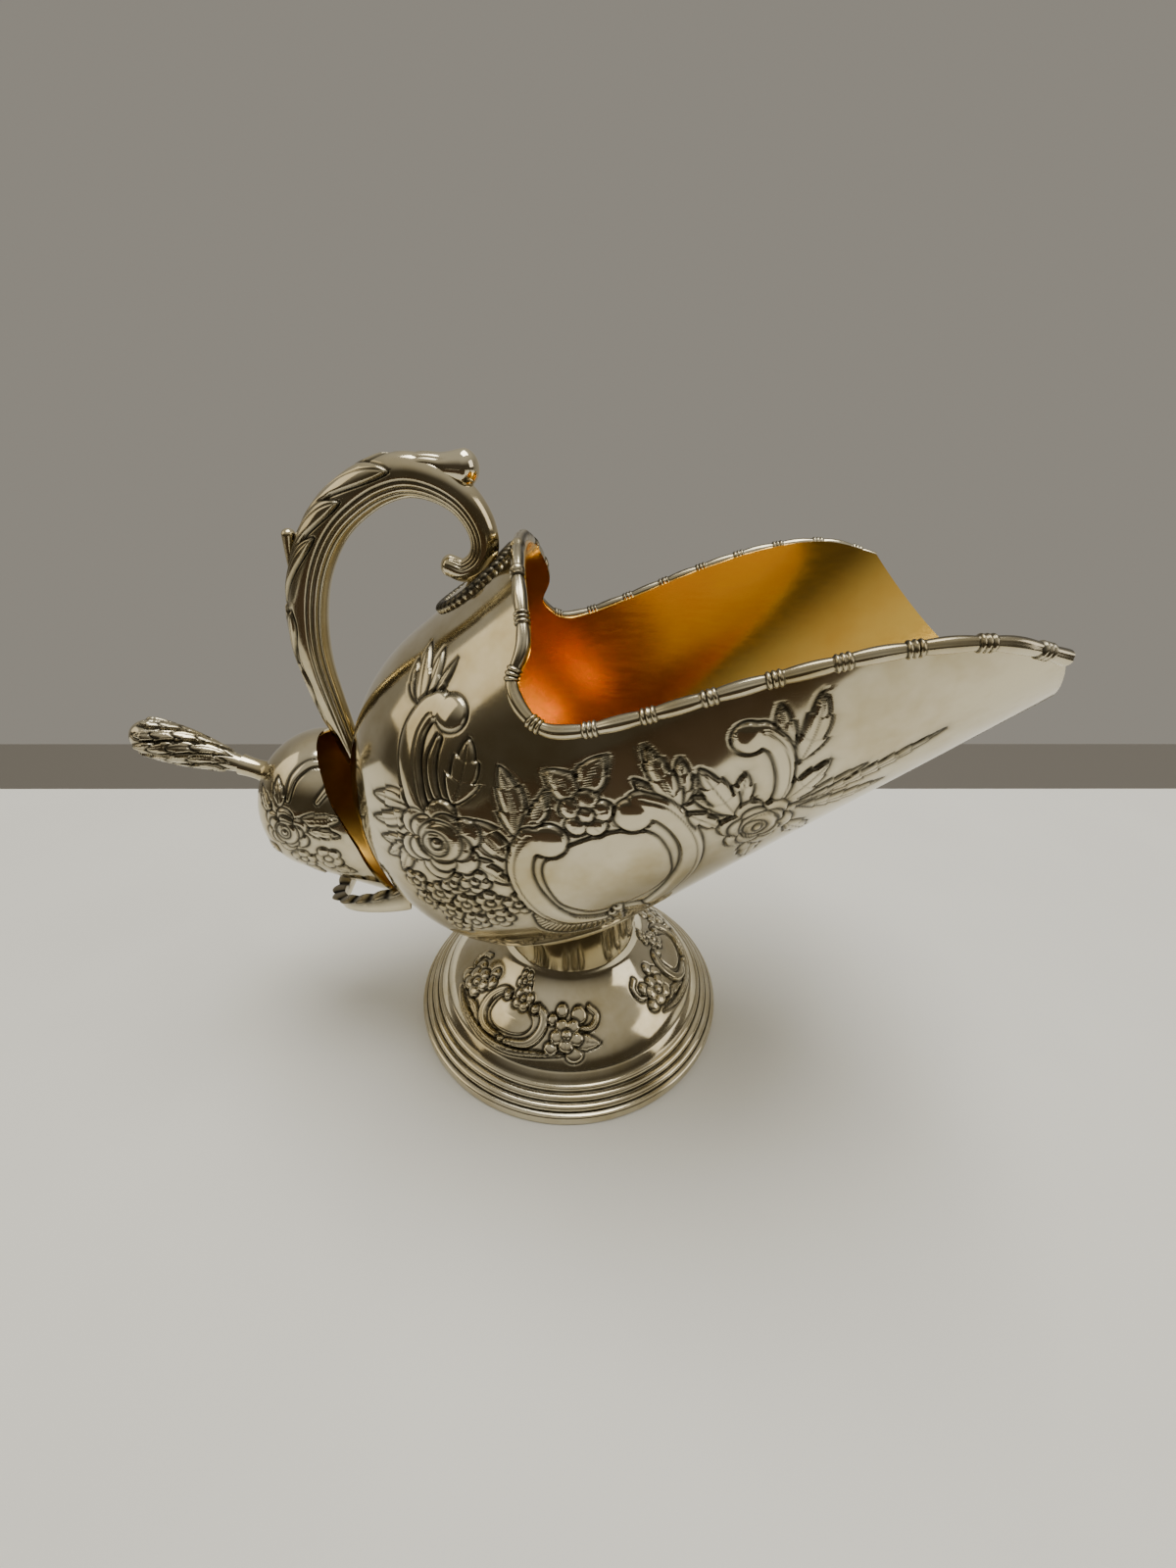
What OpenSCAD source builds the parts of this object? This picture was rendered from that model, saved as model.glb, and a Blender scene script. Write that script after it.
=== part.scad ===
// Footed sugar scuttle with its own scoop, in silver plate gilded inside.
// The bowl is a helmet shape: a tilted tube, domed at the back, cut open along
// a curved mouth that falls from a crest and runs along the sides to the lip.
// Units are millimetres. The origin is the middle of the foot, on the table.
// +X points from the handle to the pouring lip, +Z up.

/* [Bowl] */
// How far the bowl's long axis rises towards the lip, in degrees
bowl_tilt = 38.5; // [30:0.5:45]
// Where the dome meets the tube, along X on the bowl's axis
bowl_centre_x = -5.7; // [-10:0.1:0]
// Where the dome meets the tube, above the table
bowl_centre_z = 67.7; // [60:0.1:76]
// Half of the bowl's width where the dome meets the tube
bowl_half_width = 35; // [30:0.1:40]
// Half of the bowl's width at the lip
lip_half_width = 36.6; // [30:0.1:42]
// From the axis up to the bowl's crown
bowl_rise = 41.5; // [36:0.1:46]
// From the axis down to the bowl's keel
bowl_drop = 36.1; // [32:0.1:40]
// Length of the dome behind its widest section
dome_length = 42; // [36:0.1:48]
// Length of the tube from the dome to the lip
bowl_length = 85.8; // [78:0.1:92]
// Thickness of the sheet
bowl_wall = 1.1; // [0.7:0.1:1.6]

/* [Rim border] */
// Radius of the soldered border wire
border_radius = 1.25; // [0.8:0.05:1.8]
// How far the wire's centre stands outside the sheet
border_outset = 0.35; // [0.2:0.1:1.2]
// How much the wire swells at each tie
tie_swell = 0.22; // [0:0.02:0.4]
// Number of ties on each side
tie_count = 13; // [9:1:17]

/* [Handle] */
// Half thickness of the handle across the piece
handle_half_width = 3.3; // [2.6:0.1:4.2]
// Half thickness of the handle in its own plane
handle_half_depth = 3.7; // [2.8:0.1:4.6]
// Radius of the curl on top of the handle
curl_radius = 2.6; // [1.8:0.1:3.4]
// Half thickness of the leaf tip that stands off the handle's back
nub_radius = 1.3; // [0.8:0.1:2]

/* [Handle plate] */
// Middle of the oval plate under the handle, along the bowl's axis
plate_centre = 17; // [14:0.5:20]
// Half length of the oval plate
plate_half_length = 10; // [8:0.5:12]
// Half width of the oval plate
plate_half_width = 7.2; // [5:0.1:9]
// Thickness of the oval plate
plate_thickness = 1.1; // [0.7:0.1:1.6]

/* [Foot] */
// Radius of the foot where it stands
foot_radius = 40; // [36:0.5:44]
// Radius of the edge of the foot's dome
foot_dome_radius = 32.6; // [29:0.1:36]
// Height of the edge of the foot's dome
foot_dome_edge = 8.8; // [7:0.1:11]
// Radius of the foot's narrowest part
neck_radius = 16.4; // [14:0.1:19]
// Height of the foot's narrowest part
neck_height = 23.6; // [21:0.1:27]
// Thickness of the foot's sheet
foot_wall = 1.3; // [0.8:0.1:2]
// Radius of the collar where it meets the bowl
collar_radius = 19.2; // [17:0.1:22]

/* [Scoop bracket] */
// Half of the bracket's width, to the middle of its band
bracket_half_width = 13.2; // [12:0.1:15]
// How far back the bracket reaches, along X
bracket_reach = 56.2; // [54:0.1:60]
// Where the bracket's arms meet the bowl, along X
bracket_root = 36.2; // [33:0.1:39]
// Thickness of the bracket's band
bracket_band = 1.5; // [1:0.1:2.2]

/* [Scoop] */
// How far the scoop's axis falls towards its nose, in degrees
scoop_tilt = 21; // [15:0.5:28]
// Back of the scoop's bowl, along X
scoop_back_x = 68.8; // [66:0.1:72]
// Back of the scoop's bowl, above the table
scoop_back_z = 67.4; // [64:0.1:71]
// Half of the scoop's width
scoop_half_width = 14.4; // [12:0.1:16]
// From the scoop's axis up to its hood
scoop_rise = 16; // [13:0.1:18]
// From the scoop's axis down to its keel
scoop_drop = 18.2; // [15:0.1:20]
// Length of the scoop's domed back
scoop_dome = 14; // [10:0.5:18]
// Thickness of the scoop's sheet
scoop_wall = 0.9; // [0.6:0.1:1.4]
// Length of the scoop's handle
grip_length = 28.6; // [24:0.1:34]
// Radius of the scoop's handle at its fullest
grip_radius = 4.7; // [3.5:0.1:6]
// Radius of the scoop's handle beside the bowl
grip_neck = 2.1; // [1.5:0.1:3]

/* [Hidden] */
// stations of the mouth's edge in side view, crest to lip corner, as [x, z]
rim_stations = [
    [-9.3, 117.9], [-6.7, 107], [-8.4, 100.4], [-4.5, 95.9], [1.2, 95.9],
    [11.4, 99.4], [28, 106.1], [44, 111.3], [58, 113.1], [69.8, 110.7]
];
// how steeply the mouth leaves its two ends, as the stations beyond them
rim_before = [-12.6, 128];
rim_after = [81, 106.6];
// stations of the handle's middle line, lower end to volute, as [x, z]
handle_stations = [
    [-47.4, 69.6], [-49, 77], [-50.6, 85.4], [-51.6, 92], [-51.8, 98.4],
    [-51, 104.8], [-49.2, 110.8], [-46.6, 116], [-43.4, 120.2], [-39.4, 123.6],
    [-34.6, 126.4], [-29.4, 127.8], [-24.4, 127], [-20, 124.4], [-17.2, 120.6],
    [-16.4, 116.8], [-17.6, 113.8], [-20.4, 112.2], [-23.2, 113]
];
// stations of the leaf that ends in the curl on top of the handle
curl_stations = [[-31, 129], [-26.4, 129.4], [-21.6, 130], [-18.2, 129.8]];
// half thickness of the leaf along the curl
curl_thickness = [1.6, 1.6, 1.8, 2.5];
// stations of the leaf tip on the handle's back
nub_stations = [[-51.4, 109.4], [-52.1, 113.4], [-51.9, 117.6]];
// half thickness of that tip
nub_thickness = [1.5, 1.5, 1.1];
// where the scoop's mouth lies along its axis, every 15 degrees from hood to nose
scoop_rim = [9.8, 10.5, 12.2, 14.8, 17.8, 21.8, 25.6, 28.8, 32.1, 34.8, 36.5, 37.5, 37.8];
// the scoop's axis lies this far below the foot of its handle
scoop_axis_drop = 0.85;
// number of steps along one side of the mouth, along the end and to the pole
rim_steps = 40;
lip_steps = 8;
pole_steps = 18;
scoop_steps = 24;
scoop_pole_steps = 12;
border_steps = 120;
border_sides = 9;
sweep_sides = 14;
handle_steps = 60;
small_steps = 10;
collar_steps = 60;
bracket_steps = 32;
smooth = 72;
eps = 0.01;

tube_along = [cos(bowl_tilt), sin(bowl_tilt)];
tube_up = [-sin(bowl_tilt), cos(bowl_tilt)];
tube_middle = [bowl_centre_x, bowl_centre_z];

// ---- curves ----
// a station list with one more station at each end
function widened(list, before, after) = concat([before], list, [after]);
// a station list that runs straight on at both ends
function run_on(list) = let (n = len(list) - 1)
    widened(list, 2 * list[0] - list[1], 2 * list[n] - list[n - 1]);
// a smooth curve through stations 1 .. n - 2 of a widened list, t from 0 to 1
function curve(list, t) =
    let (n = len(list) - 3,
         i = min(n - 1, floor(t * n)),
         u = t * n - i,
         a = list[i], b = list[i + 1], c = list[i + 2], d = list[i + 3])
    b + u / 2 * (c - a) + u * u * (a - 2.5 * b + 2 * c - d / 2)
    + u * u * u * (1.5 * b - a / 2 - 1.5 * c + d / 2);
function unit(v) = v / norm(v);
// even steps that crowd together at a pole
function from_pole(v) = v * v * (2 - v);

// ---- the bowl's skin ----
function share(s) = max(0, min(1, s / bowl_length));
function width_at(s) =
    bowl_half_width + (lip_half_width - bowl_half_width) * pow(share(s), 1.5);
function shrink(s, dome) = s < 0 ? sqrt(max(0, 1 - pow(s / dome, 2))) : 1;
// a point s along the axis, turned by phi from the crown, inset by k
function skin(s, phi, k) =
    let (g = shrink(s, dome_length - k),
         half = cos(phi) > 0 ? bowl_rise - k : bowl_drop - k,
         h = half * g * cos(phi),
         p = tube_middle + s * tube_along + h * tube_up)
    [p[0], -(width_at(s) - k) * g * sin(phi), p[1]];
// the mouth's edge as [s, phi] from a side view point
function edge_of(p) =
    let (d = p - tube_middle,
         s = d * tube_along,
         h = d * tube_up,
         half = h > 0 ? bowl_rise : bowl_drop)
    [s, acos(max(-1, min(1, h / half)))];
rim_list = widened(rim_stations, rim_before, rim_after);
function rim_edge(t) = edge_of(curve(rim_list, t));
corner = rim_edge(1);
crest = [rim_edge(0)[0], 0];
// one side of the opening, from the crest to the middle of the lip
half_edge = concat(
    [crest],
    [for (i = [1 : rim_steps]) rim_edge(i / rim_steps)],
    [for (i = [1 : lip_steps])
        [corner[0], corner[1] + (180 - corner[1]) * i / lip_steps]]);
edge_count = len(half_edge);
// the whole opening, round from the crest to the crest
whole_edge = concat(half_edge,
    [for (i = [edge_count - 2 : -1 : 1]) [half_edge[i][0], 360 - half_edge[i][1]]]);

// faces of a cup: an outer and an inner fan of rings, joined at the edge
function cup_faces(ribs, steps) =
    let (inner = 1 + ribs * steps)
    concat(
        [for (i = [0 : ribs - 1]) let (n = (i + 1) % ribs)
            [0, 1 + n * steps, 1 + i * steps]],
        [for (i = [0 : ribs - 1], j = [0 : steps - 2])
            let (n = (i + 1) % ribs, a = 1 + i * steps + j, b = 1 + n * steps + j)
            [a, b, b + 1, a + 1]],
        [for (i = [0 : ribs - 1]) let (n = (i + 1) % ribs)
            [inner, inner + 1 + i * steps, inner + 1 + n * steps]],
        [for (i = [0 : ribs - 1], j = [0 : steps - 2])
            let (n = (i + 1) % ribs, a = inner + 1 + i * steps + j,
                 b = inner + 1 + n * steps + j)
            [a, a + 1, b + 1, b]],
        [for (i = [0 : ribs - 1])
            let (n = (i + 1) % ribs, a = steps + i * steps, b = steps + n * steps)
            [a, b, inner + b, inner + a]]);
function halved(faces) = [for (f = faces) each
    len(f) == 3 ? [f] : [[f[0], f[1], f[2]], [f[0], f[2], f[3]]]];

module bowl_shell() {
    function wall(k) = concat([skin(k - dome_length, 0, k)],
        [for (e = whole_edge, j = [1 : pole_steps])
            skin(k - dome_length + (e[0] + dome_length - k) * from_pole(j / pole_steps),
                e[1], k)]);
    color("silver")
    polyhedron(concat(wall(0), wall(bowl_wall)),
        halved(cup_faces(len(whole_edge), pole_steps)));
}

// ---- sweeps ----
// closed skin over rings of points, all rings alike, capped at both ends
function tube_faces(rings, sides) = concat(
    [[for (j = [0 : sides - 1]) sides - 1 - j]],
    [for (i = [0 : rings - 2], j = [0 : sides - 1])
        let (n = (j + 1) % sides, a = i * sides)
        each [[a + j, a + n, a + sides + n], [a + j, a + sides + n, a + sides + j]]],
    [[for (j = [0 : sides - 1]) (rings - 1) * sides + j]]);
// a rod in the XZ plane, depth in its plane and width across it
module rod(list, depths, widths, steps, sides) {
    path = run_on(list);
    deep = run_on(depths);
    wide = run_on(widths);
    points = [for (i = [0 : steps])
        let (t = i / steps,
             p = curve(path, t),
             d = unit(curve(path, min(1, t + eps)) - curve(path, max(0, t - eps))),
             a = curve(deep, t), b = curve(wide, t))
        for (j = [0 : sides - 1])
            let (q = 360 * j / sides)
            [p[0] - a * cos(q) * d[1], b * sin(q), p[1] + a * cos(q) * d[0]]];
    polyhedron(points, tube_faces(steps + 1, sides));
}

// ---- rim border ----
function border_middle(t) =
    let (side = t < 0.5 ? 1 : -1,
         e = t == 0.5 ? crest : rim_edge(abs(2 * t - 1)))
    skin(e[0], side * e[1], -border_outset);
module rim_border() {
    function tie(t) =
        let (u = abs(2 * t - 1) * tie_count, d = abs(u - floor(u) - 0.5))
        1 + tie_swell * exp(-60 * d * d);
    points = [for (i = [0 : border_steps])
        let (t = i / border_steps,
             p = border_middle(t),
             d = unit(border_middle(min(1, t + eps)) - border_middle(max(0, t - eps))),
             e = t == 0.5 ? crest : rim_edge(abs(2 * t - 1)),
             side = t < 0.5 ? 1 : -1,
             o = skin(e[0], side * e[1], -1) - skin(e[0], side * e[1], 0),
             a = unit(o - (o * d) * d),
             b = cross(d, a),
             r = border_radius * tie(t))
        for (j = [0 : border_sides - 1])
            let (q = 360 * j / border_sides)
            p + r * (cos(q) * a + sin(q) * b)];
    color("gainsboro")
    polyhedron(points, tube_faces(border_steps + 1, border_sides));
}

// ---- handle ----
module handle() {
    d = handle_half_depth;
    w = handle_half_width;
    color("silver") {
        rod(handle_stations,
            [1.6, 2.4, 2.9, 3.2, 3.5, d, d, d, d, d, d, d, 3.5, 3.1, 2.8, 2.6, 2.4, 2.1, 2],
            [2.6, 2.6, 2.8, 3, w, w, w, w, w, w, w, w, w, 3, 2.8, 2.7, 2.6, 2.4, 2.2],
            handle_steps, sweep_sides);
        rod(curl_stations, curl_thickness, [2.4, 2.6, 2.6, curl_radius],
            small_steps, sweep_sides);
        rod(nub_stations, nub_thickness, [2.4, 2, nub_radius],
            small_steps, sweep_sides);
    }
}

// ---- oval plate under the handle ----
module handle_plate() {
    rings = 5;
    around = 36;
    function oval(r, a, k) =
        let (s = plate_centre + plate_half_length * r * cos(a),
             y = plate_half_width * r * sin(a))
        skin(s, asin(y / width_at(s)), k);
    function sheet(k) = concat([oval(0, 0, k)],
        [for (i = [0 : around - 1], j = [1 : rings]) oval(j / rings, 360 * i / around, k)]);
    color("gainsboro")
    polyhedron(concat(sheet(-plate_thickness), sheet(-eps)),
        halved(cup_faces(around, rings)));
}

// ---- foot ----
// stepped moulding, from the table up to the dome's edge, as [radius, height]
module foot_base() {
    r = foot_radius;
    e = foot_dome_radius;
    z = foot_dome_edge;
    step = (r - e) / 5;
    lift = z / 5;
    color("silver")
    rotate_extrude($fn = smooth)
    polygon([
        [r - foot_wall, 0], [r, 0], [r, lift * 0.8], [r - step * 0.7, lift],
        [r - step, lift * 1.4], [r - step * 1.2, lift * 1.9],
        [r - step * 2, lift * 2.1], [r - step * 2.1, lift * 2.8],
        [r - step * 3, lift * 3], [r - step * 3.1, lift * 3.7],
        [r - step * 4, lift * 3.9], [r - step * 4.1, lift * 4.5],
        [e, z * 0.96], [e - 0.4, z - foot_wall],
        [r - step * 4.4, lift * 3.9 - foot_wall * 1.1],
        [r - step * 3.5, lift * 2.8 - foot_wall * 0.9],
        [r - step * 2.6, lift * 1.9 - foot_wall * 0.9],
        [r - foot_wall * 1.6, foot_wall * 0.9]
    ]);
}

foot_profile = [[32.6, 8.8], [30.9, 11], [28.4, 13.2], [25.4, 15.3], [22.4, 17.3],
    [19.6, 19.4], [17.5, 21.6], [16.4, 23.6]];
module foot_dome() {
    inner = [for (i = [len(foot_profile) - 1 : -1 : 0])
        foot_profile[i] - [foot_wall * 0.62, foot_wall * 0.78]];
    color("silver")
    rotate_extrude($fn = smooth)
    polygon(concat(foot_profile, inner));
}

// height of the bowl's underside over a point, grown outward by k
function underside(x, y, k) =
    let (ct = tube_along[0], st = tube_along[1],
         dx = x - bowl_centre_x,
         w2 = 1 - pow(y / (bowl_half_width + k), 2),
         a = dome_length + k, b = bowl_drop + k,
         // the dome: (s / a)^2 + (h / b)^2 = w2, solved for the height
         qa = st * st / a / a + ct * ct / b / b,
         qb = 2 * dx * ct * st * (1 / a / a - 1 / b / b),
         qc = dx * dx * (ct * ct / a / a + st * st / b / b) - w2,
         zd = (-qb - sqrt(max(0, qb * qb - 4 * qa * qc))) / 2 / qa,
         // the tube: (h / b)^2 = w2
         zt = (dx * st - b * sqrt(max(0, w2))) / ct)
    bowl_centre_z + (dx * ct + zd * st < 0 ? zd : zt);
module foot_collar() {
    rows = 8;
    flare = [for (i = [0 : rows]) let (u = i / rows)
        neck_radius + (collar_radius - neck_radius) * u * u];
    points = [for (i = [0 : collar_steps - 1])
        let (a = 360 * i / collar_steps,
             top = underside(collar_radius * cos(a), collar_radius * sin(a), 0.05),
             in_top = underside((collar_radius - foot_wall) * cos(a),
                 (collar_radius - foot_wall) * sin(a), 0.05))
        each concat(
            [for (j = [0 : rows]) [flare[j] * cos(a), flare[j] * sin(a),
                neck_height + (top - neck_height) * j / rows]],
            [for (j = [rows : -1 : 0])
                [(flare[j] - foot_wall) * cos(a), (flare[j] - foot_wall) * sin(a),
                neck_height + (in_top - neck_height) * j / rows]])];
    n = 2 * rows + 2;
    faces = [for (i = [0 : collar_steps - 1], j = [0 : n - 1])
        let (a = i * n, b = ((i + 1) % collar_steps) * n, m = (j + 1) % n)
        each [[a + j, b + m, b + j], [a + j, a + m, b + m]]];
    color("silver")
    polyhedron(points, faces);
}

// ---- bracket ----
// half of the band's plan from an arm's root to its outer end, u from 0 to 1
module scoop_bracket() {
    function plan(u) =
        let (a = 90 * (1 - abs(u)), side = u < 0 ? -1 : 1,
             x = bracket_root + (bracket_reach - bracket_root) * pow(sin(a), 0.9))
        [-x, side * bracket_half_width * (abs(u) < eps ? 0 : pow(cos(a), 0.75))];
    function drop(u) = 43.6 - 9.6 * pow(1 - abs(u), 0.8);
    function tall(u) = 2 + 2 * pow(abs(u), 3);
    points = [for (i = [0 : bracket_steps])
        let (u = 2 * i / bracket_steps - 1,
             p = plan(u),
             d = unit(plan(min(1, u + 0.03)) - plan(max(-1, u - 0.03))),
             o = [d[1], -d[0]] * bracket_band / 2,
             z = drop(u), h = tall(u))
        each [[p[0] + o[0], p[1] + o[1], z - h], [p[0] + o[0], p[1] + o[1], z + h],
              [p[0] - o[0], p[1] - o[1], z + h], [p[0] - o[0], p[1] - o[1], z - h]]];
    color("silver")
    polyhedron(points, tube_faces(bracket_steps + 1, 4));
}

// ---- scoop ----
scoop_along = [cos(scoop_tilt), -sin(scoop_tilt)];
scoop_up = [sin(scoop_tilt), cos(scoop_tilt)];
scoop_back = [-scoop_back_x, scoop_back_z];
function scoop_skin(s, phi, k) =
    let (q = s - scoop_dome,
         g = shrink(q, scoop_dome - k),
         half = cos(phi) > 0 ? scoop_rise - k : scoop_drop - k,
         h = half * g * cos(phi) - scoop_axis_drop,
         p = scoop_back + s * scoop_along + h * scoop_up)
    [p[0], -(scoop_half_width - k) * g * sin(phi), p[1]];
// the scoop's mouth as [s, phi]
function scoop_edge(t) =
    [curve(widened(scoop_rim, scoop_rim[1], scoop_rim[len(scoop_rim) - 2]), t), 180 * t];
module scoop_bowl() {
    half = [for (i = [0 : scoop_steps]) scoop_edge(i / scoop_steps)];
    all = concat(half, [for (i = [scoop_steps - 1 : -1 : 1]) [half[i][0], 360 - half[i][1]]]);
    function wall(k) = concat([scoop_skin(k, 0, k)],
        [for (e = all, j = [1 : scoop_pole_steps])
            scoop_skin(k + (e[0] - k) * from_pole(j / scoop_pole_steps), e[1], k)]);
    color("silver")
    polyhedron(concat(wall(0), wall(scoop_wall)),
        halved(cup_faces(len(all), scoop_pole_steps)));
}

module scoop_handle() {
    n = 24;
    function grip(u) = u > 0.86
        ? grip_radius * 0.92 * sqrt(max(0, 1 - pow((u - 0.86) / 0.14, 2)))
        : grip_neck + (grip_radius - grip_neck) * pow(sin(min(90, 118 * u)), 2.2)
            * (1 - 0.08 * u) + 0.9 * exp(-30 * u);
    color("silver")
    translate([-scoop_back_x, 0, scoop_back_z])
    rotate([0, -90 + scoop_tilt - 1.5, 0])
    rotate_extrude($fn = smooth)
    polygon(concat([[0, -0.6]],
        [for (i = [0 : n]) let (u = i / n)
            [i == n ? 0 : grip(u), u * grip_length - 0.6 * (1 - u)]]));
}

bowl_shell();
rim_border();
handle();
handle_plate();
foot_base();
foot_dome();
foot_collar();
scoop_bracket();
scoop_bowl();
scoop_handle();
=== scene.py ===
"""Footed sugar scuttle with its scoop, in silver plate gilded inside.

The bowl is a helmet of sheet metal on a spun foot, with a soldered rim wire,
a cast handle on an oval plate, a scoop in a bracket behind it, and flowers
and scrolls raised from the back on its sides. Lengths are millimetres until
a mesh is made; the origin is the middle of the foot, on the table.
"""
import logging
import math
from dataclasses import dataclass, field
from enum import Enum
from typing import Optional, Sequence

import bpy
import numpy as np
from mathutils import Matrix


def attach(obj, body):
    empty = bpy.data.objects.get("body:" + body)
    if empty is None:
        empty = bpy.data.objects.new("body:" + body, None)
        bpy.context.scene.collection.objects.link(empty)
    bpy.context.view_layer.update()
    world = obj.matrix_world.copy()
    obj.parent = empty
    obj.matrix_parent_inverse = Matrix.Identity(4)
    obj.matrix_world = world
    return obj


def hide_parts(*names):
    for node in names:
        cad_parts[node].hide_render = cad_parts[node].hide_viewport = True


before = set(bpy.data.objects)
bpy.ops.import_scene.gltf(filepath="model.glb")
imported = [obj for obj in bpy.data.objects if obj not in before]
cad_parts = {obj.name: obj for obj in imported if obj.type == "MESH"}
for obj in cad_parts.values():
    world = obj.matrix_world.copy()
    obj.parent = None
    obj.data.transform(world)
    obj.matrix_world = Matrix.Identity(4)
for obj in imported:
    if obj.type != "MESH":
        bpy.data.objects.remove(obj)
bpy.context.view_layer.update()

Array = np.ndarray
Point = tuple[float, float]
Object = bpy.types.Object
Material = bpy.types.Material

log = logging.getLogger("scuttle")
MM = 0.001
# name of the per-corner darkness: patina in the metal's chasing and hollows, the table's
# darker ledge, and painted shade over the inside of the scoop's gilding
DARKENING = "patina"


class Slot(Enum):
    """The material slots."""

    SILVER = "silver"
    GILT = "gilt"


class Body(Enum):
    """The two bodies that move apart."""

    SCUTTLE = "scuttle"
    SCOOP = "scoop"


# ---------------------------------------------------------------- curves
def spline(stations: Sequence, t: Array, before: Optional[Sequence] = None,
           after: Optional[Sequence] = None) -> Array:
    """A smooth curve through stations.

    Args:
        stations: numbers or points that the curve passes through.
        t: where along it, from 0 to 1.
        before: the station before the first, or None to run straight on.
        after: the station after the last, or None to run straight on.

    Returns:
        One row for each t.
    """
    p = np.asarray(stations, float)
    first = 2 * p[0] - p[1] if before is None else np.asarray(before, float)
    last = 2 * p[-1] - p[-2] if after is None else np.asarray(after, float)
    p = np.concatenate([[first], p, [last]])
    n = len(p) - 3
    t = np.clip(np.asarray(t, float), 0, 1)
    i = np.minimum(n - 1, np.floor(t * n).astype(int))
    u = t * n - i
    if p.ndim > 1:
        u = u[:, None]
    a, b, c, d = p[i], p[i + 1], p[i + 2], p[i + 3]
    return (b + u / 2 * (c - a) + u * u * (a - 2.5 * b + 2 * c - d / 2)
            + u ** 3 * (1.5 * b - a / 2 - 1.5 * c + d / 2))


def rising(x: Array) -> Array:
    """Goes softly from 0 to 1 as x does."""
    x = np.clip(x, 0, 1)
    return x * x * (3 - 2 * x)


def bell(x: Array, width: float) -> Array:
    """1 where x is 0, and nothing a few widths away."""
    return np.exp(-(x / width) ** 2)


def dome(x: Array) -> Array:
    """A half circle's height, 1 in the middle and 0 from x = 1 on."""
    return np.sqrt(np.clip(1 - x * x, 0, 1))


def spaced(*spans: tuple[float, float, float]) -> Array:
    """Positions along a line, each span (from, to, gap) at its own gap."""
    parts = [np.linspace(lo, hi, max(2, round((hi - lo) / gap)), endpoint=False)
             for lo, hi, gap in spans]
    return np.append(np.concatenate(parts), spans[-1][1])


def to_path(x: Array, y: Array, path: Array) -> tuple[Array, Array, Array]:
    """How points lie to a path.

    Args:
        x: the points' first coordinates.
        y: the points' second coordinates.
        path: the path's corners, one a row.

    Returns:
        Each point's distance, its place along the path from 0 to 1, and its
        side, -1 or 1.
    """
    start, step = path[:-1], np.diff(path, axis=0)
    rx, ry = x[:, None] - start[:, 0], y[:, None] - start[:, 1]
    dx, dy = step[:, 0], step[:, 1]
    u = np.clip((rx * dx + ry * dy) / (dx * dx + dy * dy), 0, 1)
    gap = (rx - u * dx) ** 2 + (ry - u * dy) ** 2
    i = gap.argmin(1)
    rows = np.arange(len(x))
    side = np.sign(dx[i] * ry[rows, i] - dy[i] * rx[rows, i])
    return np.sqrt(gap[rows, i]), (i + u[rows, i]) / len(step), side


def unit(v: Array) -> Array:
    """Vectors brought to length 1 along the last axis."""
    return v / np.maximum(np.linalg.norm(v, axis=-1, keepdims=True), 1e-9)


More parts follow.
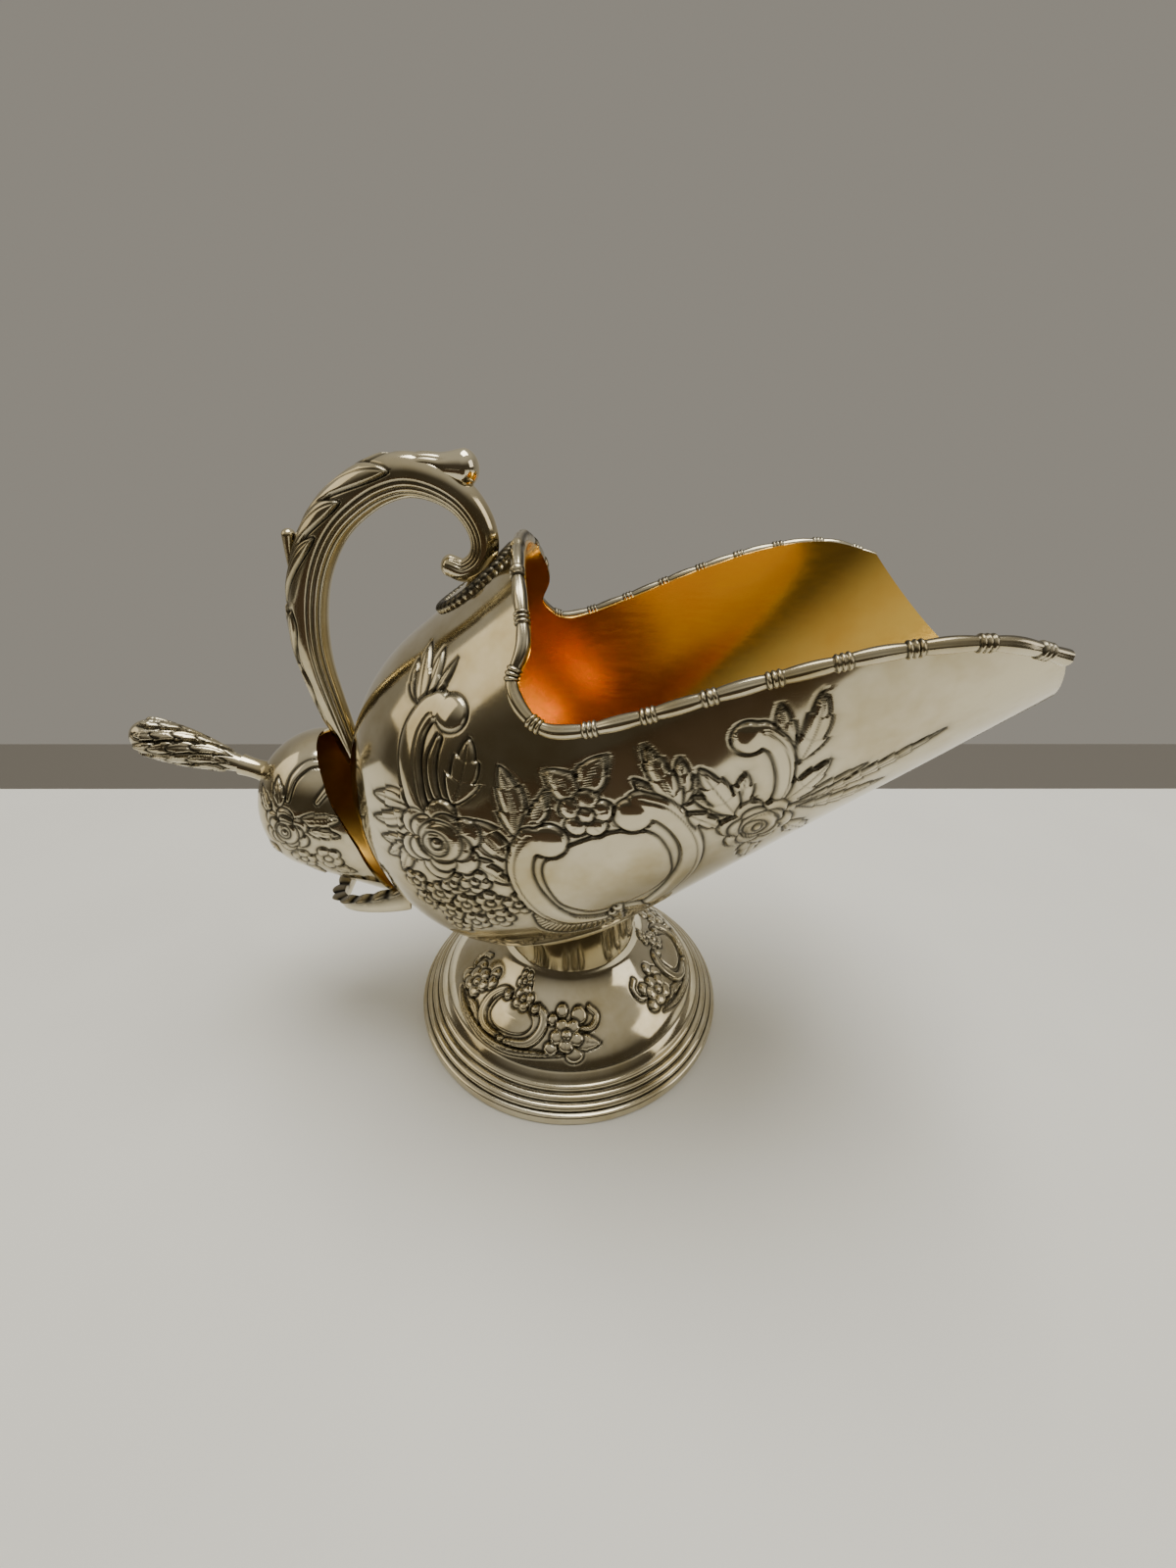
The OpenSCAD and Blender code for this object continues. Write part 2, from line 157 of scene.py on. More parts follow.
# ---------------------------------------------------------------- meshes
@dataclass
class MeshParts:
    """Corners, faces and darkness of one piece while it is put together: patina, the table's
    darker ledge, and painted shade inside the scoop's gilding.
    """

    points: list[Array] = field(default_factory=list)
    dark: list[Array] = field(default_factory=list)
    quads: list[Array] = field(default_factory=list)
    tris: list[Array] = field(default_factory=list)
    count: int = 0

    def add(self, points: Array, dark: Optional[Array] = None) -> int:
        """Adds corners and says the index of the first.

        Args:
            points: corners in millimetres, xyz along the last axis.
            dark: darkness for each corner, from 0 to 1, or None for clean: patina, and
                painted shade inside the scoop's gilding.

        Returns:
            Index of the first corner added.
        """
        points = np.asarray(points, float).reshape(-1, 3)
        self.points.append(points)
        self.dark.append(np.zeros(len(points)) if dark is None
                         else np.asarray(dark, float).ravel())
        first, self.count = self.count, self.count + len(points)
        return first

    def grid(self, first: int, rows: int, cols: int, around: bool = False,
             flip: bool = False) -> None:
        """Faces over rows by cols corners; around joins the last column on.

        Args:
            first: index of the first corner.
            rows: corners one way.
            cols: corners the other way.
            around: whether the last column joins the first.
            flip: whether the faces look the other way.
        """
        r, c = np.arange(rows - 1)[:, None], np.arange(cols if around else cols - 1)
        n = (c + 1) % cols
        quad = np.stack(np.broadcast_arrays(
            first + r * cols + c, first + r * cols + n,
            first + (r + 1) * cols + n, first + (r + 1) * cols + c), -1).reshape(-1, 4)
        self.quads.append(quad[:, ::-1] if flip else quad)

    def fan(self, centre: int, first: int, cols: int, flip: bool = False) -> None:
        """Triangles from one corner to a closed row of corners."""
        c = np.arange(cols)
        tri = np.stack([np.full(cols, centre), first + c, first + (c + 1) % cols], -1)
        self.tris.append(tri[:, ::-1] if flip else tri)

    def join(self, one: int, other: int, cols: int, flip: bool = False) -> None:
        """Quads between two closed rows of corners.

        Args:
            one: first corner of one row.
            other: first corner of the other row.
            cols: corners in each row.
            flip: whether the faces look the other way.
        """
        c = np.arange(cols)
        n = (c + 1) % cols
        quad = np.stack([one + c, one + n, other + n, other + c], -1)
        self.quads.append(quad[:, ::-1] if flip else quad)

    def make(self, name: str, material: Material, crease: float = 50.0) -> Object:
        """Makes the object.

        Args:
            name: the piece's name.
            material: its finish.
            crease: edges sharper than this, in degrees, stay crisp.

        Returns:
            The new object, linked to the scene.
        """
        mesh = bpy.data.meshes.new(name)
        points = np.concatenate(self.points) * MM
        quads = np.concatenate(self.quads) if self.quads else np.zeros((0, 4), int)
        tris = np.concatenate(self.tris) if self.tris else np.zeros((0, 3), int)
        corners = np.concatenate([quads.ravel(), tris.ravel()])
        sizes = np.concatenate([np.full(len(quads), 4), np.full(len(tris), 3)])
        mesh.vertices.add(len(points))
        mesh.vertices.foreach_set("co", points.ravel().astype(np.float32))
        mesh.loops.add(len(corners))
        mesh.loops.foreach_set("vertex_index", corners.astype(np.int32))
        mesh.polygons.add(len(sizes))
        mesh.polygons.foreach_set(
            "loop_start", np.concatenate([[0], np.cumsum(sizes)[:-1]]).astype(np.int32))
        mesh.update(calc_edges=True)
        mesh.validate()
        mesh.polygons.foreach_set("use_smooth", np.ones(len(sizes), bool))
        mesh.set_sharp_from_angle(angle=math.radians(crease))
        dark = mesh.attributes.new(DARKENING, "FLOAT", "POINT")
        dark.data.foreach_set("value", np.concatenate(self.dark).astype(np.float32))
        mesh.materials.append(material)
        piece = bpy.data.objects.new(name, mesh)
        bpy.context.scene.collection.objects.link(piece)
        return piece


def closed_sheet(outer: Array, outer_pole: Array, inner: Array, inner_pole: Array,
                 dark: Optional[Array] = None, dull: float = 0.0) -> MeshParts:
    """A cup of sheet metal, from its two sides.

    Args:
        outer: ribs by columns by xyz, from beside the pole to the edge.
        outer_pole: the outside's pole.
        inner: the same ribs on the inside, with any number of columns.
        inner_pole: the inside's pole.
        dark: patina of the outer corners.
        dull: how dark the whole inside is painted; the scoop's gilding uses it as painted
            shade.

    Returns:
        The closed mesh's parts.
    """
    parts = MeshParts()
    ribs = outer.shape[0]
    starts = []
    for side, pole, ink, flip in ((outer, outer_pole, dark, False),
                                  (inner, inner_pole, np.full(inner.shape[:2], dull),
                                   True)):
        rows = side.transpose(1, 0, 2)
        centre = parts.add(pole)
        first = parts.add(rows, None if ink is None else ink.T)
        parts.fan(centre, first, ribs, not flip)
        parts.grid(first, rows.shape[0], ribs, around=True, flip=not flip)
        starts.append(first + (rows.shape[0] - 1) * ribs)
    parts.join(starts[0], starts[1], ribs, flip=True)
    return parts


def lathe(profile: Array, segments: int, dark: Optional[Array] = None) -> MeshParts:
    """A closed ring turned from a closed profile.

    Args:
        profile: (radius, height) rows, or one such table a segment.
        segments: how many steps round.
        dark: patina of each profile corner, or one row a segment.

    Returns:
        The ring's parts.
    """
    profile = np.broadcast_to(profile, (segments,) + profile.shape[-2:])
    turn = np.linspace(0, 2 * np.pi, segments, endpoint=False)[:, None]
    # angles are counted from the front, -Y, towards +X
    points = np.stack([profile[..., 0] * np.sin(turn), -profile[..., 0] * np.cos(turn),
                       profile[..., 1]], -1)
    rows = profile.shape[1]
    parts = MeshParts()
    if dark is not None:
        dark = np.broadcast_to(dark, (segments, rows))
    first = parts.add(points, dark)
    parts.grid(first, segments, rows, around=True)
    c = np.arange(rows)
    last = first + (segments - 1) * rows
    n = (c + 1) % rows
    parts.quads.append(np.stack([last + c, last + n, first + n, first + c], -1))
    return parts


@dataclass
class Rod:
    """A rod in the piece's middle plane, as rings along a curve.

    Attributes:
        stations: points of its middle line, as (x, z).
        depths: half thickness in the plane at each station.
        widths: half thickness across the plane at each station.
        steps: rings along it.
        sides: corners round a ring.
        cap: how far a rounded end reaches past the last station.
    """

    stations: Sequence[Point]
    depths: Sequence[float]
    widths: Sequence[float]
    steps: int
    sides: int
    cap: float = 0.0

    def __post_init__(self) -> None:
        """Works out the rings."""
        t = np.linspace(0, 1, self.steps + 1)
        middle = spline(self.stations, t)
        ahead = unit(np.gradient(middle, axis=0))
        deep, wide = spline(self.depths, t), spline(self.widths, t)
        if self.cap:
            turn = np.radians(np.linspace(0, 84, 12)[1:])
            middle = np.concatenate(
                [middle, middle[-1] + np.sin(turn)[:, None] * self.cap * ahead[-1]])
            ahead = np.concatenate([ahead, np.repeat(ahead[-1:], len(turn), 0)])
            deep = np.append(deep, deep[-1] * np.cos(turn))
            wide = np.append(wide, wide[-1] * np.cos(turn))
        self.middle, self.ahead, self.deep, self.wide = middle, ahead, deep, wide
        self.along = np.append(0, np.cumsum(np.linalg.norm(np.diff(middle, axis=0),
                                                           axis=1)))
        # 0 is the outside of the bend, half a turn is its inside
        self.turn = np.linspace(0, 2 * np.pi, self.sides, endpoint=False)

    def mesh(self, height: Optional[Array] = None,
             dark: Optional[Array] = None) -> MeshParts:
        """The rod's skin, raised by height and closed at both ends.

        Args:
            height: how far each corner is raised.
            dark: patina of each corner.

        Returns:
            The rod's parts.
        """
        q = self.turn[None, :]
        deep, wide = self.deep[:, None], self.wide[:, None]
        flat = unit(np.stack([wide * np.cos(q), deep * np.sin(q)], -1))
        lift = np.zeros(flat.shape[:2]) if height is None else height
        u = deep * np.cos(q) + lift * flat[..., 0]
        y = wide * np.sin(q) + lift * flat[..., 1]
        x = self.middle[:, :1] - u * self.ahead[:, 1:]
        z = self.middle[:, 1:] + u * self.ahead[:, :1]
        rings = np.stack([x, y, z], -1)
        parts = MeshParts()
        first = parts.add(rings, dark)
        rows = rings.shape[0]
        parts.grid(first, rows, self.sides, around=True)
        start = parts.add(rings[0].mean(0))
        end = parts.add(rings[-1].mean(0) + (rings[-1].mean(0) - rings[-2].mean(0)) * 0.3)
        parts.fan(start, first, self.sides, flip=True)
        parts.fan(end, first + (rows - 1) * self.sides, self.sides)
        return parts


# ---------------------------------------------------------------- chasing
@dataclass
class Relief:
    """Ornament raised from the back and chased from the front.

    Each figure is pressed over those before it, with a cut line round it that
    keeps its dark patina.

    Attributes:
        a: each corner's place along the piece.
        b: each corner's place across it.
        line: half width of a chased line.
        cut: depth of a chased line.
        depth: how strongly the whole is raised.
    """

    a: Array
    b: Array
    line: float = 0.23
    cut: float = 0.2
    depth: float = 1.0

    def __post_init__(self) -> None:
        """Starts from a plain sheet."""
        self.height = np.zeros_like(self.a)
        self.ink = np.zeros_like(self.a)

    def _near(self, points: Array, reach: float) -> Array:
        """Indexes of the corners within reach of a figure's box."""
        lo, hi = points.min(0) - reach, points.max(0) + reach
        return np.flatnonzero((self.a > lo[0]) & (self.a < hi[0])
                              & (self.b > lo[1]) & (self.b < hi[1]))

    def _press(self, at: Array, inside: Array, top: Array, soft: float = 0.45) -> None:
        """Presses one figure.

        Args:
            at: the corners it may touch.
            inside: how far each is inside its outline, negative outside.
            top: the figure's height there.
            soft: how far in from the outline it takes to reach that height.
        """
        keep = rising(inside / soft)
        lifted = self.height[at] * (1 - keep) + top * keep * self.depth
        groove = bell(inside + 0.4 * self.line, self.line)
        self.height[at] = np.maximum(lifted - self.cut * groove, -0.3)
        dark = np.maximum(bell(inside + 0.35 * self.line, 1.6 * self.line),
                          0.3 * bell(np.minimum(inside, 0), 0.9) * (inside < 0))
        self.ink[at] = np.maximum(self.ink[at] * (1 - keep), dark)

    def _chase(self, at: Array, gap: Array, force: float = 0.7,
               fine: float = 0.8) -> None:
        """Cuts a line where gap is 0.

        Args:
            at: the corners it may touch.
            gap: distance of each from the line.
            force: how hard it is cut.
            fine: its width, as a share of a line's.
        """
        groove = bell(gap, self.line * fine) * force
        self.height[at] -= self.cut * groove
        self.ink[at] = np.maximum(self.ink[at], groove)

    def scroll(self, path: Sequence[Point], widths: Sequence[float], height: float,
               lines: Sequence[float] = (), hatch: float = 0.0,
               knob: Optional[tuple[float, float, float]] = None) -> None:
        """A rounded band along a curve.

        Args:
            path: stations of its middle line.
            widths: half widths, evenly along it.
            height: how high it stands.
            lines: lines chased along it, at these shares of its half width.
            hatch: gap between short lines across it, or 0 for none.
            knob: middle and radius of the ball it rolls up into, or None.
        """
        track = spline(path, np.linspace(0, 1, 14 * len(path)))
        at = self._near(track, max(widths) + (2 * knob[2] if knob else 1))
        gap, t, side = to_path(self.a[at], self.b[at], track)
        half = np.interp(t, np.linspace(0, 1, len(widths)), widths)
        inside = half - gap
        top = height * (0.25 + 0.75 * dome(gap / half))
        inner = gap < half * 0.92
        if knob:
            away = np.hypot(self.a[at] - knob[0], self.b[at] - knob[1])
            inside = np.maximum(inside, knob[2] - away)
            top = np.maximum(top * (away > knob[2] * 0.6),
                             (height + 0.3) * dome(away / knob[2] * 0.97))
            inner = inner & (away > knob[2])
        self._press(at, inside, top)
        for share in lines:
            self._chase(at[inner], (side * gap - share * half)[inner])
        if hatch:
            run = t * np.linalg.norm(np.diff(track, axis=0), axis=1).sum()
            beat = np.abs(run / hatch - np.round(run / hatch)) * hatch
            self._chase(at[inner], beat[inner], 0.9, 0.9)

    def boss(self, centre: Point, radius: float, height: float) -> None:
        """A round bead or knob."""
        at = self._near(np.array([centre]), radius + 1)
        gap = np.hypot(self.a[at] - centre[0], self.b[at] - centre[1])
        self._press(at, radius - gap, height * dome(gap / radius * 0.97))

    def curl(self, centre: Point, radius: float, height: float, turn: float,
             hand: int = 1) -> None:
        """A knob with a spiral line cut into it, as a scroll ends in.

        Args:
            centre: middle of the knob.
            radius: its radius.
            height: how high it stands.
            turn: where the spiral starts, in radians.
            hand: 1 or -1, the way it winds.
        """
        self.boss(centre, radius, height)
        at = self._near(np.array([centre]), radius)
        x, y = self.a[at] - centre[0], self.b[at] - centre[1]
        r, q = np.hypot(x, y), np.arctan2(y, x) * hand - turn
        wind = np.mod(q / (2 * np.pi), 1) * 0.42 + 0.5
        inner = (r < radius * 0.95) & (r > radius * 0.45)
        self._chase(at[inner], (r - wind * radius)[inner], 0.6)

    def flower(self, centre: Point, radius: float, petals: int, turn: float,
               height: float, heart: float = 0.3) -> None:
        """An open flower.

        Args:
            centre: its middle.
            radius: out to the petals' tips.
            petals: how many.
            turn: where the first points, in degrees.
            height: how high the petals stand.
            heart: the middle bead's share of the radius, or 0 for none.
        """
        at = self._near(np.array([centre]), radius + 1)
        x, y = self.a[at] - centre[0], self.b[at] - centre[1]
        r, q = np.hypot(x, y), np.arctan2(y, x) - math.radians(turn)
        lobe = np.abs(np.cos(petals * q / 2))
        edge = radius * (0.68 + 0.32 * lobe ** 0.6)
        share = np.clip(r / edge, 0, 1)
        swell = (0.72 + 0.28 * lobe) * (0.6 + 0.4 * np.sin(np.pi * share ** 1.3))
        self._press(at, (edge - r) * 0.85, height * swell)
        inner = (r < edge - 0.2) & (r > heart * radius * 0.8)
        self._chase(at[inner], (r * 2 * np.arcsin(lobe) / petals)[inner], 0.8)
        self._chase(at[inner & (share < 0.8)],
                    (r * 2 * np.arccos(lobe) / petals)[inner & (share < 0.8)], 0.3, 0.6)
        if heart:
            self.boss(centre, radius * heart, height * 1.15)

    def rose(self, centre: Point, radius: float, turn: float, height: float) -> None:
        """A full rose, its petals in three rings round a bud.

        Args:
            centre: middle of the rose.
            radius: its radius.
            turn: how far it is turned, in degrees.
            height: how high it stands.
        """
        self.flower(centre, radius, 6, turn, height * 0.8, 0)
        self.flower(centre, radius * 0.74, 5, turn + 31, height * 1.05, 0)
        for share, lift, way in ((0.5, 1.25, 1), (0.3, 1.4, -1)):
            self.curl((centre[0] + 0.06 * way * radius, centre[1]), radius * share,
                      height * lift, math.radians(turn) * way, way)
        self.boss(centre, radius * 0.12, height * 1.5)

    def leaf(self, base: Point, tip: Point, width: float, height: float,
             teeth: int = 5, bite: float = 0.3, bend: float = 0.0,
             full: float = 0.75, veins: float = 0.3) -> None:
        """A toothed leaf.

        Args:
            base: where its stem joins.
            tip: its point.
            width: its greatest half width.
            height: how high its middle stands.
            teeth: teeth along each side.
            bite: how deep the teeth are, as a share of the width.
            bend: how far its middle bows sideways, as a share of its length.
            full: below 1 it is widest near its base, above 1 near its tip.
            veins: how strongly its side veins are cut.
        """
        base, tip = np.array(base, float), np.array(tip, float)
        length = float(np.linalg.norm(tip - base))
        e = (tip - base) / length
        at = self._near(np.array([base, tip]), width + 1 + abs(bend) * length)
        x, y = self.a[at] - base[0], self.b[at] - base[1]
        u = (x * e[0] + y * e[1]) / length
        v = y * e[0] - x * e[1]
        clipped = np.clip(u, 0.001, 0.999)
        v = v - bend * length * np.sin(np.pi * clipped)
        off = np.abs(v)
        beat = teeth * (clipped - 0.3 * off / length)
        tooth = 1 - np.mod(beat, 1)
        half = width * np.sin(np.pi * clipped ** full) ** 0.8 * (1 - bite * tooth)
        inside = np.minimum((half - off) * 0.8,
                            np.minimum(u + 0.02, 1 - u) * length)
        self._press(at, inside, height * (0.35 + 0.65 * dome(off / (half + 0.01))), 0.4)
        inner = inside > 0.15
        self._chase(at[inner], off[inner], 0.7, 0.75)
        vein = np.abs(np.mod(beat + 0.5, 1) - 0.5) / teeth * length * 0.8
        self._chase(at[inner], vein[inner], veins, 0.6)

    def panel(self, outline: Sequence[Point], height: float, crown: float) -> None:
        """A smooth field inside a closed outline.

        Args:
            outline: stations round it.
            height: how high its edge stands.
            crown: how much more its middle does.
        """
        loop = list(outline) + [outline[0]]
        track = spline(loop, np.linspace(0, 1, 10 * len(loop)),
                       outline[-1], outline[1])
        at = self._near(track, 1)
        x, y = self.a[at], self.b[at]
        gap, _, _ = to_path(x, y, track)
        x0, y0, x1, y1 = track[:-1, 0], track[:-1, 1], track[1:, 0], track[1:, 1]
        over = (y0 > y[:, None]) != (y1 > y[:, None])
        reach = x0 + (y[:, None] - y0) / np.where(y1 == y0, 1e-9, y1 - y0) * (x1 - x0)
        within = (over & (x[:, None] < reach)).sum(1) % 2 == 1
        inside = np.where(within, gap, -gap)
        self._press(at, inside, height + crown * rising(np.clip(inside, 0, 9) / 9), 0.5)


# ---------------------------------------------------------------- finishes
def linear(code: str) -> tuple[float, float, float, float]:
    """An sRGB hex colour as the linear colour the shaders work in."""
    shares = [int(code[i:i + 2], 16) / 255 for i in (1, 3, 5)]
    return tuple(c / 12.92 if c <= 0.04045 else ((c + 0.055) / 1.055) ** 2.4
                 for c in shares) + (1.0,)


def add_node(tree: bpy.types.NodeTree, kind: str, settings: Optional[dict] = None,
             inputs: Optional[dict] = None) -> bpy.types.Node:
    """Adds a node.

    Args:
        tree: where it goes.
        kind: the node's type.
        settings: its properties by name.
        inputs: a value, or an output to link, by socket name or number.

    Returns:
        The node.
    """
    node = tree.nodes.new(kind)
    for name, value in (settings or {}).items():
        setattr(node, name, value)
    for name, value in (inputs or {}).items():
        if isinstance(value, bpy.types.NodeSocket):
            tree.links.new(value, node.inputs[name])
        else:
            node.inputs[name].default_value = value
    return node


def per_metre(size_mm: float) -> float:
    """The scale that makes a pattern repeat about every size_mm."""
    return 1000.0 / size_mm


def fresh_material(name: str) -> tuple[Material, bpy.types.NodeTree, bpy.types.Node]:
    """An empty node material, its tree and its output node.

    Args:
        name: the material's name.

    Returns:
        The material, its node tree and its output node.
    """
    material = bpy.data.materials.new(name)
    material.use_nodes = True
    tree = material.node_tree
    tree.nodes.clear()
    return material, tree, add_node(tree, "ShaderNodeOutputMaterial")


@dataclass(frozen=True)
class PolishedPlate:
    """A plated and hand-polished surface over sheet or cast metal.

    Attributes:
        name: the material's name.
        bright: the polished metal.
        cloud: the same metal where tarnish begins.
        patina: what stays in the cut lines; on the gold wash, the brown of the painted shade
            inside the scoop.
        gloss: roughness where freshly rubbed.
        dull: roughness where handled.
        cloud_mm: size of the tarnish clouds.
        hammer_mm: size of the sheet's slow waves.
        hammer_depth_mm: their depth.
        scratch_mm: gap between the hairlines that a cloth leaves; the real ones
            are finer, and these are as coarse as they need to be to show.
    """

    name: str
    bright: str
    cloud: str
    patina: str
    gloss: float
    dull: float
    cloud_mm: float = 16.0
    hammer_mm: float = 9.0
    hammer_depth_mm: float = 0.02
    scratch_mm: float = 0.5

    def make(self) -> Material:
        """Builds the material.

        Returns:
            The material.
        """
        material, tree, output = fresh_material(self.name)
        place = add_node(tree, "ShaderNodeTexCoord").outputs["Object"]
        clouds = add_node(tree, "ShaderNodeTexNoise", {}, {
            "Vector": place, "Scale": per_metre(self.cloud_mm), "Detail": 4.0,
            "Roughness": 0.6}).outputs[0]
        cloudy = add_node(tree, "ShaderNodeMapRange", {}, {
            "Value": clouds, "From Min": 0.42, "From Max": 0.72}).outputs[0]
        # per-corner darkness: patina in the chasing, and painted shade all over the inside of
        # the scoop's gilding
        dark = add_node(tree, "ShaderNodeAttribute",
                        {"attribute_name": DARKENING}).outputs["Fac"]
        tint = add_node(tree, "ShaderNodeMix", {"data_type": "RGBA"}, {
            "Factor": cloudy, 6: linear(self.bright), 7: linear(self.cloud)}).outputs[2]
        # polish thins the patina unevenly, so it isn't equally dark in each line; the same
        # noise breaks up the painted shade inside the scoop
        worn = add_node(tree, "ShaderNodeTexNoise", {}, {
            "Vector": place, "Scale": per_metre(2.5), "Detail": 2.0}).outputs[0]
        held = add_node(tree, "ShaderNodeMapRange", {}, {
            "Value": worn, "From Min": 0.25, "From Max": 0.6, "To Min": 0.88,
            "To Max": 1.0}).outputs[0]
        ink = add_node(tree, "ShaderNodeMath", {"operation": "MULTIPLY",
                                                "use_clamp": True},
                       {0: dark, 1: held}).outputs[0]
        colour = add_node(tree, "ShaderNodeMix", {"data_type": "RGBA"}, {
            "Factor": ink, 6: tint, 7: linear(self.patina)}).outputs[2]
        long = add_node(tree, "ShaderNodeMapping", {}, {
            "Vector": place, "Scale": (0.12, 1.0, 1.0),
            "Rotation": (0.3, 0.5, 0.4)}).outputs[0]
        hairs = add_node(tree, "ShaderNodeTexNoise", {}, {
            "Vector": long, "Scale": per_metre(self.scratch_mm), "Detail": 3.0,
            "Roughness": 0.7}).outputs[0]
        rubbed = add_node(tree, "ShaderNodeMapRange", {}, {
            "Value": hairs, "From Min": 0.3, "From Max": 0.8, "To Min": self.gloss,
            "To Max": self.dull}).outputs[0]
        handled = add_node(tree, "ShaderNodeMath", {"operation": "MULTIPLY_ADD"}, {
            0: cloudy, 1: 0.06, 2: rubbed}).outputs[0]
        rough = add_node(tree, "ShaderNodeMath", {"operation": "MULTIPLY_ADD"}, {
            0: ink, 1: 0.32, 2: handled}).outputs[0]
        waves = add_node(tree, "ShaderNodeTexNoise", {}, {
            "Vector": place, "Scale": per_metre(self.hammer_mm), "Detail": 1.0}).outputs[0]
        beaten = add_node(tree, "ShaderNodeBump", {}, {
            "Strength": 1.0, "Distance": self.hammer_depth_mm * MM,
            "Height": waves}).outputs[0]
        brushed = add_node(tree, "ShaderNodeBump", {}, {
            "Strength": 0.2, "Distance": 0.0003 * MM, "Height": hairs,
            "Normal": beaten}).outputs[0]
        shader = add_node(tree, "ShaderNodeBsdfPrincipled", {}, {
            "Base Color": colour, "Roughness": rough, "Metallic": 1.0,
            "Normal": brushed})
        tree.links.new(shader.outputs[0], output.inputs["Surface"])
        return material


# Silver electroplate on brass, polished by hand for decades: a warm white
# mirror, gone champagne where tarnish begins, with black left in the chasing.
SILVER_PLATE = PolishedPlate("silver_plate_hand_polished", "#D2C9AF", "#B3A47C",
                             "#0D0A08", 0.075, 0.12)
# A gold wash over silver, never chased: deep orange where it faces itself,
# straw where the light falls on it, a little softer than the silver.
# its brown, #7A4A16, is no patina: it only shows as the painted shade over the inside of the
# scoop's gilding
GOLD_WASH = PolishedPlate("gold_wash_burnished", "#F3C863", "#E8B24A", "#7A4A16",
                          0.13, 0.22, 26.0, 14.0, 0.02, 0.9)


# ---------------------------------------------------------------- pieces
def place_piece(piece: Object, body: Body, slot: Slot, *nodes: str) -> Object:
    """Puts a piece on its body and hides what it stands for.

    Args:
        piece: the new piece.
        body: the body it rides on.
        slot: the slot of its finish; not used.
        nodes: the nodes it stands for.

    Returns:
        The piece.
    """
    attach(piece, body.value)
    if nodes:
        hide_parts(*nodes)
    log.info("%s: %d faces, on %s", piece.name, len(piece.data.polygons), body.value)
    return piece


@dataclass
class BowlForm:
    """The helmet's skin: a tilted tube, domed behind, cut open at the mouth."""

    tilt: float = 38.5
    centre: Point = (-5.7, 67.7)
    half_width: float = 35.0
    lip_half_width: float = 36.6
    rise: float = 41.5
    drop: float = 36.1
    dome_length: float = 42.0
    length: float = 85.8
    rim: tuple[Point, ...] = ((-9.3, 117.9), (-6.7, 107), (-8.4, 100.4),
                              (-4.5, 95.9), (1.2, 95.9), (11.4, 99.4), (28, 106.1),
                              (44, 111.3), (58, 113.1), (69.8, 110.7))
    rim_before: Point = (-12.6, 128)
    rim_after: Point = (81, 106.6)

    def __post_init__(self) -> None:
        """Works out the axis and the girth's length table."""
        tilt = math.radians(self.tilt)
        self.along = np.array([math.cos(tilt), math.sin(tilt)])
        self.up = np.array([-math.sin(tilt), math.cos(tilt)])
        phi = np.linspace(0, np.pi, 1441)
        half = np.where(phi < np.pi / 2, self.rise, self.drop)
        step = np.hypot(35.5 * np.cos(phi), half * np.sin(phi))
        run = np.append(0, np.cumsum((step[1:] + step[:-1]) / 2 * np.diff(phi)))
        self.phi_table, self.girth_table = phi, run - np.interp(np.pi / 2, phi, run)

    def skin(self, s: Array, phi: Array, grow: float = 0.0) -> Array:
        """Points of the skin.

        Args:
            s: along the axis, from where dome and tube meet.
            phi: turned from the crown, in radians.
            grow: how far outside the sheet's outer face.

        Returns:
            xyz along the last axis.
        """
        s, phi = np.broadcast_arrays(np.asarray(s, float), np.asarray(phi, float))
        length = self.dome_length + grow
        g = np.where(s < 0, np.sqrt(np.clip(1 - (s / length) ** 2, 0, 1)), 1.0)
        half = np.where(np.cos(phi) > 0, self.rise, self.drop) + grow
        h = half * g * np.cos(phi)
        share = np.clip(s / self.length, 0, 1) ** 1.5
        width = self.half_width + (self.lip_half_width - self.half_width) * share + grow
        x = self.centre[0] + s * self.along[0] + h * self.up[0]
        z = self.centre[1] + s * self.along[1] + h * self.up[1]
        return np.stack([x, -width * g * np.sin(phi), z], -1)

    def out(self, s: Array, phi: Array) -> Array:
        """The skin's outward direction.

        Args:
            s: how far along the axis.
            phi: the angle round it, 0 at the top.

        Returns:
            Unit vectors out of the skin.
        """
        e = 1e-3
        ds = self.skin(s + e, phi) - self.skin(s - e, phi)
        dq = self.skin(s, phi + e) - self.skin(s, phi - e)
        n = unit(np.cross(ds, dq))
        away = self.skin(s, phi, 0.5) - self.skin(s, phi)
        return n * np.sign((n * away).sum(-1, keepdims=True))

    def edge(self, t: Array) -> tuple[Array, Array]:
        """The mouth's edge as (s, phi), t from 0 at the crest to 1 at the lip.

        Args:
            t: share of the way along the edge.

        Returns:
            The places along and round the axis.
        """
        d = spline(self.rim, t, self.rim_before, self.rim_after) - self.centre
        s, h = d @ self.along, d @ self.up
        half = np.where(h > 0, self.rise, self.drop)
        return s, np.arccos(np.clip(h / half, -1, 1))

    def mouth(self, phi: Array) -> Array:
        """How far along the axis the sheet reaches at phi, from 0 to pi."""
        s, q = self.edge(np.linspace(0, 1, 1601))
        q[0] = 0
        return np.interp(phi, np.maximum.accumulate(q), s)

    def underside(self, x: Array, y: Array, grow: float) -> Array:
        """Height of the bowl's underside over points of the table.

        Args:
            x: places along X.
            y: places along Y.
            grow: how far the skin is moved out.

        Returns:
            The heights.
        """
        ct, st = self.along
        dx = x - self.centre[0]
        w2 = 1 - (y / (self.half_width + grow)) ** 2
        a, b = self.dome_length + grow, self.drop + grow
        qa = st * st / a / a + ct * ct / b / b
        qb = 2 * dx * ct * st * (1 / a / a - 1 / b / b)
        qc = dx * dx * (ct * ct / a / a + st * st / b / b) - w2
        zd = (-qb - np.sqrt(np.maximum(0, qb * qb - 4 * qa * qc))) / 2 / qa
        zt = (dx * st - b * np.sqrt(np.maximum(0, w2))) / ct
        return self.centre[1] + np.where(dx * ct + zd * st < 0, zd, zt)


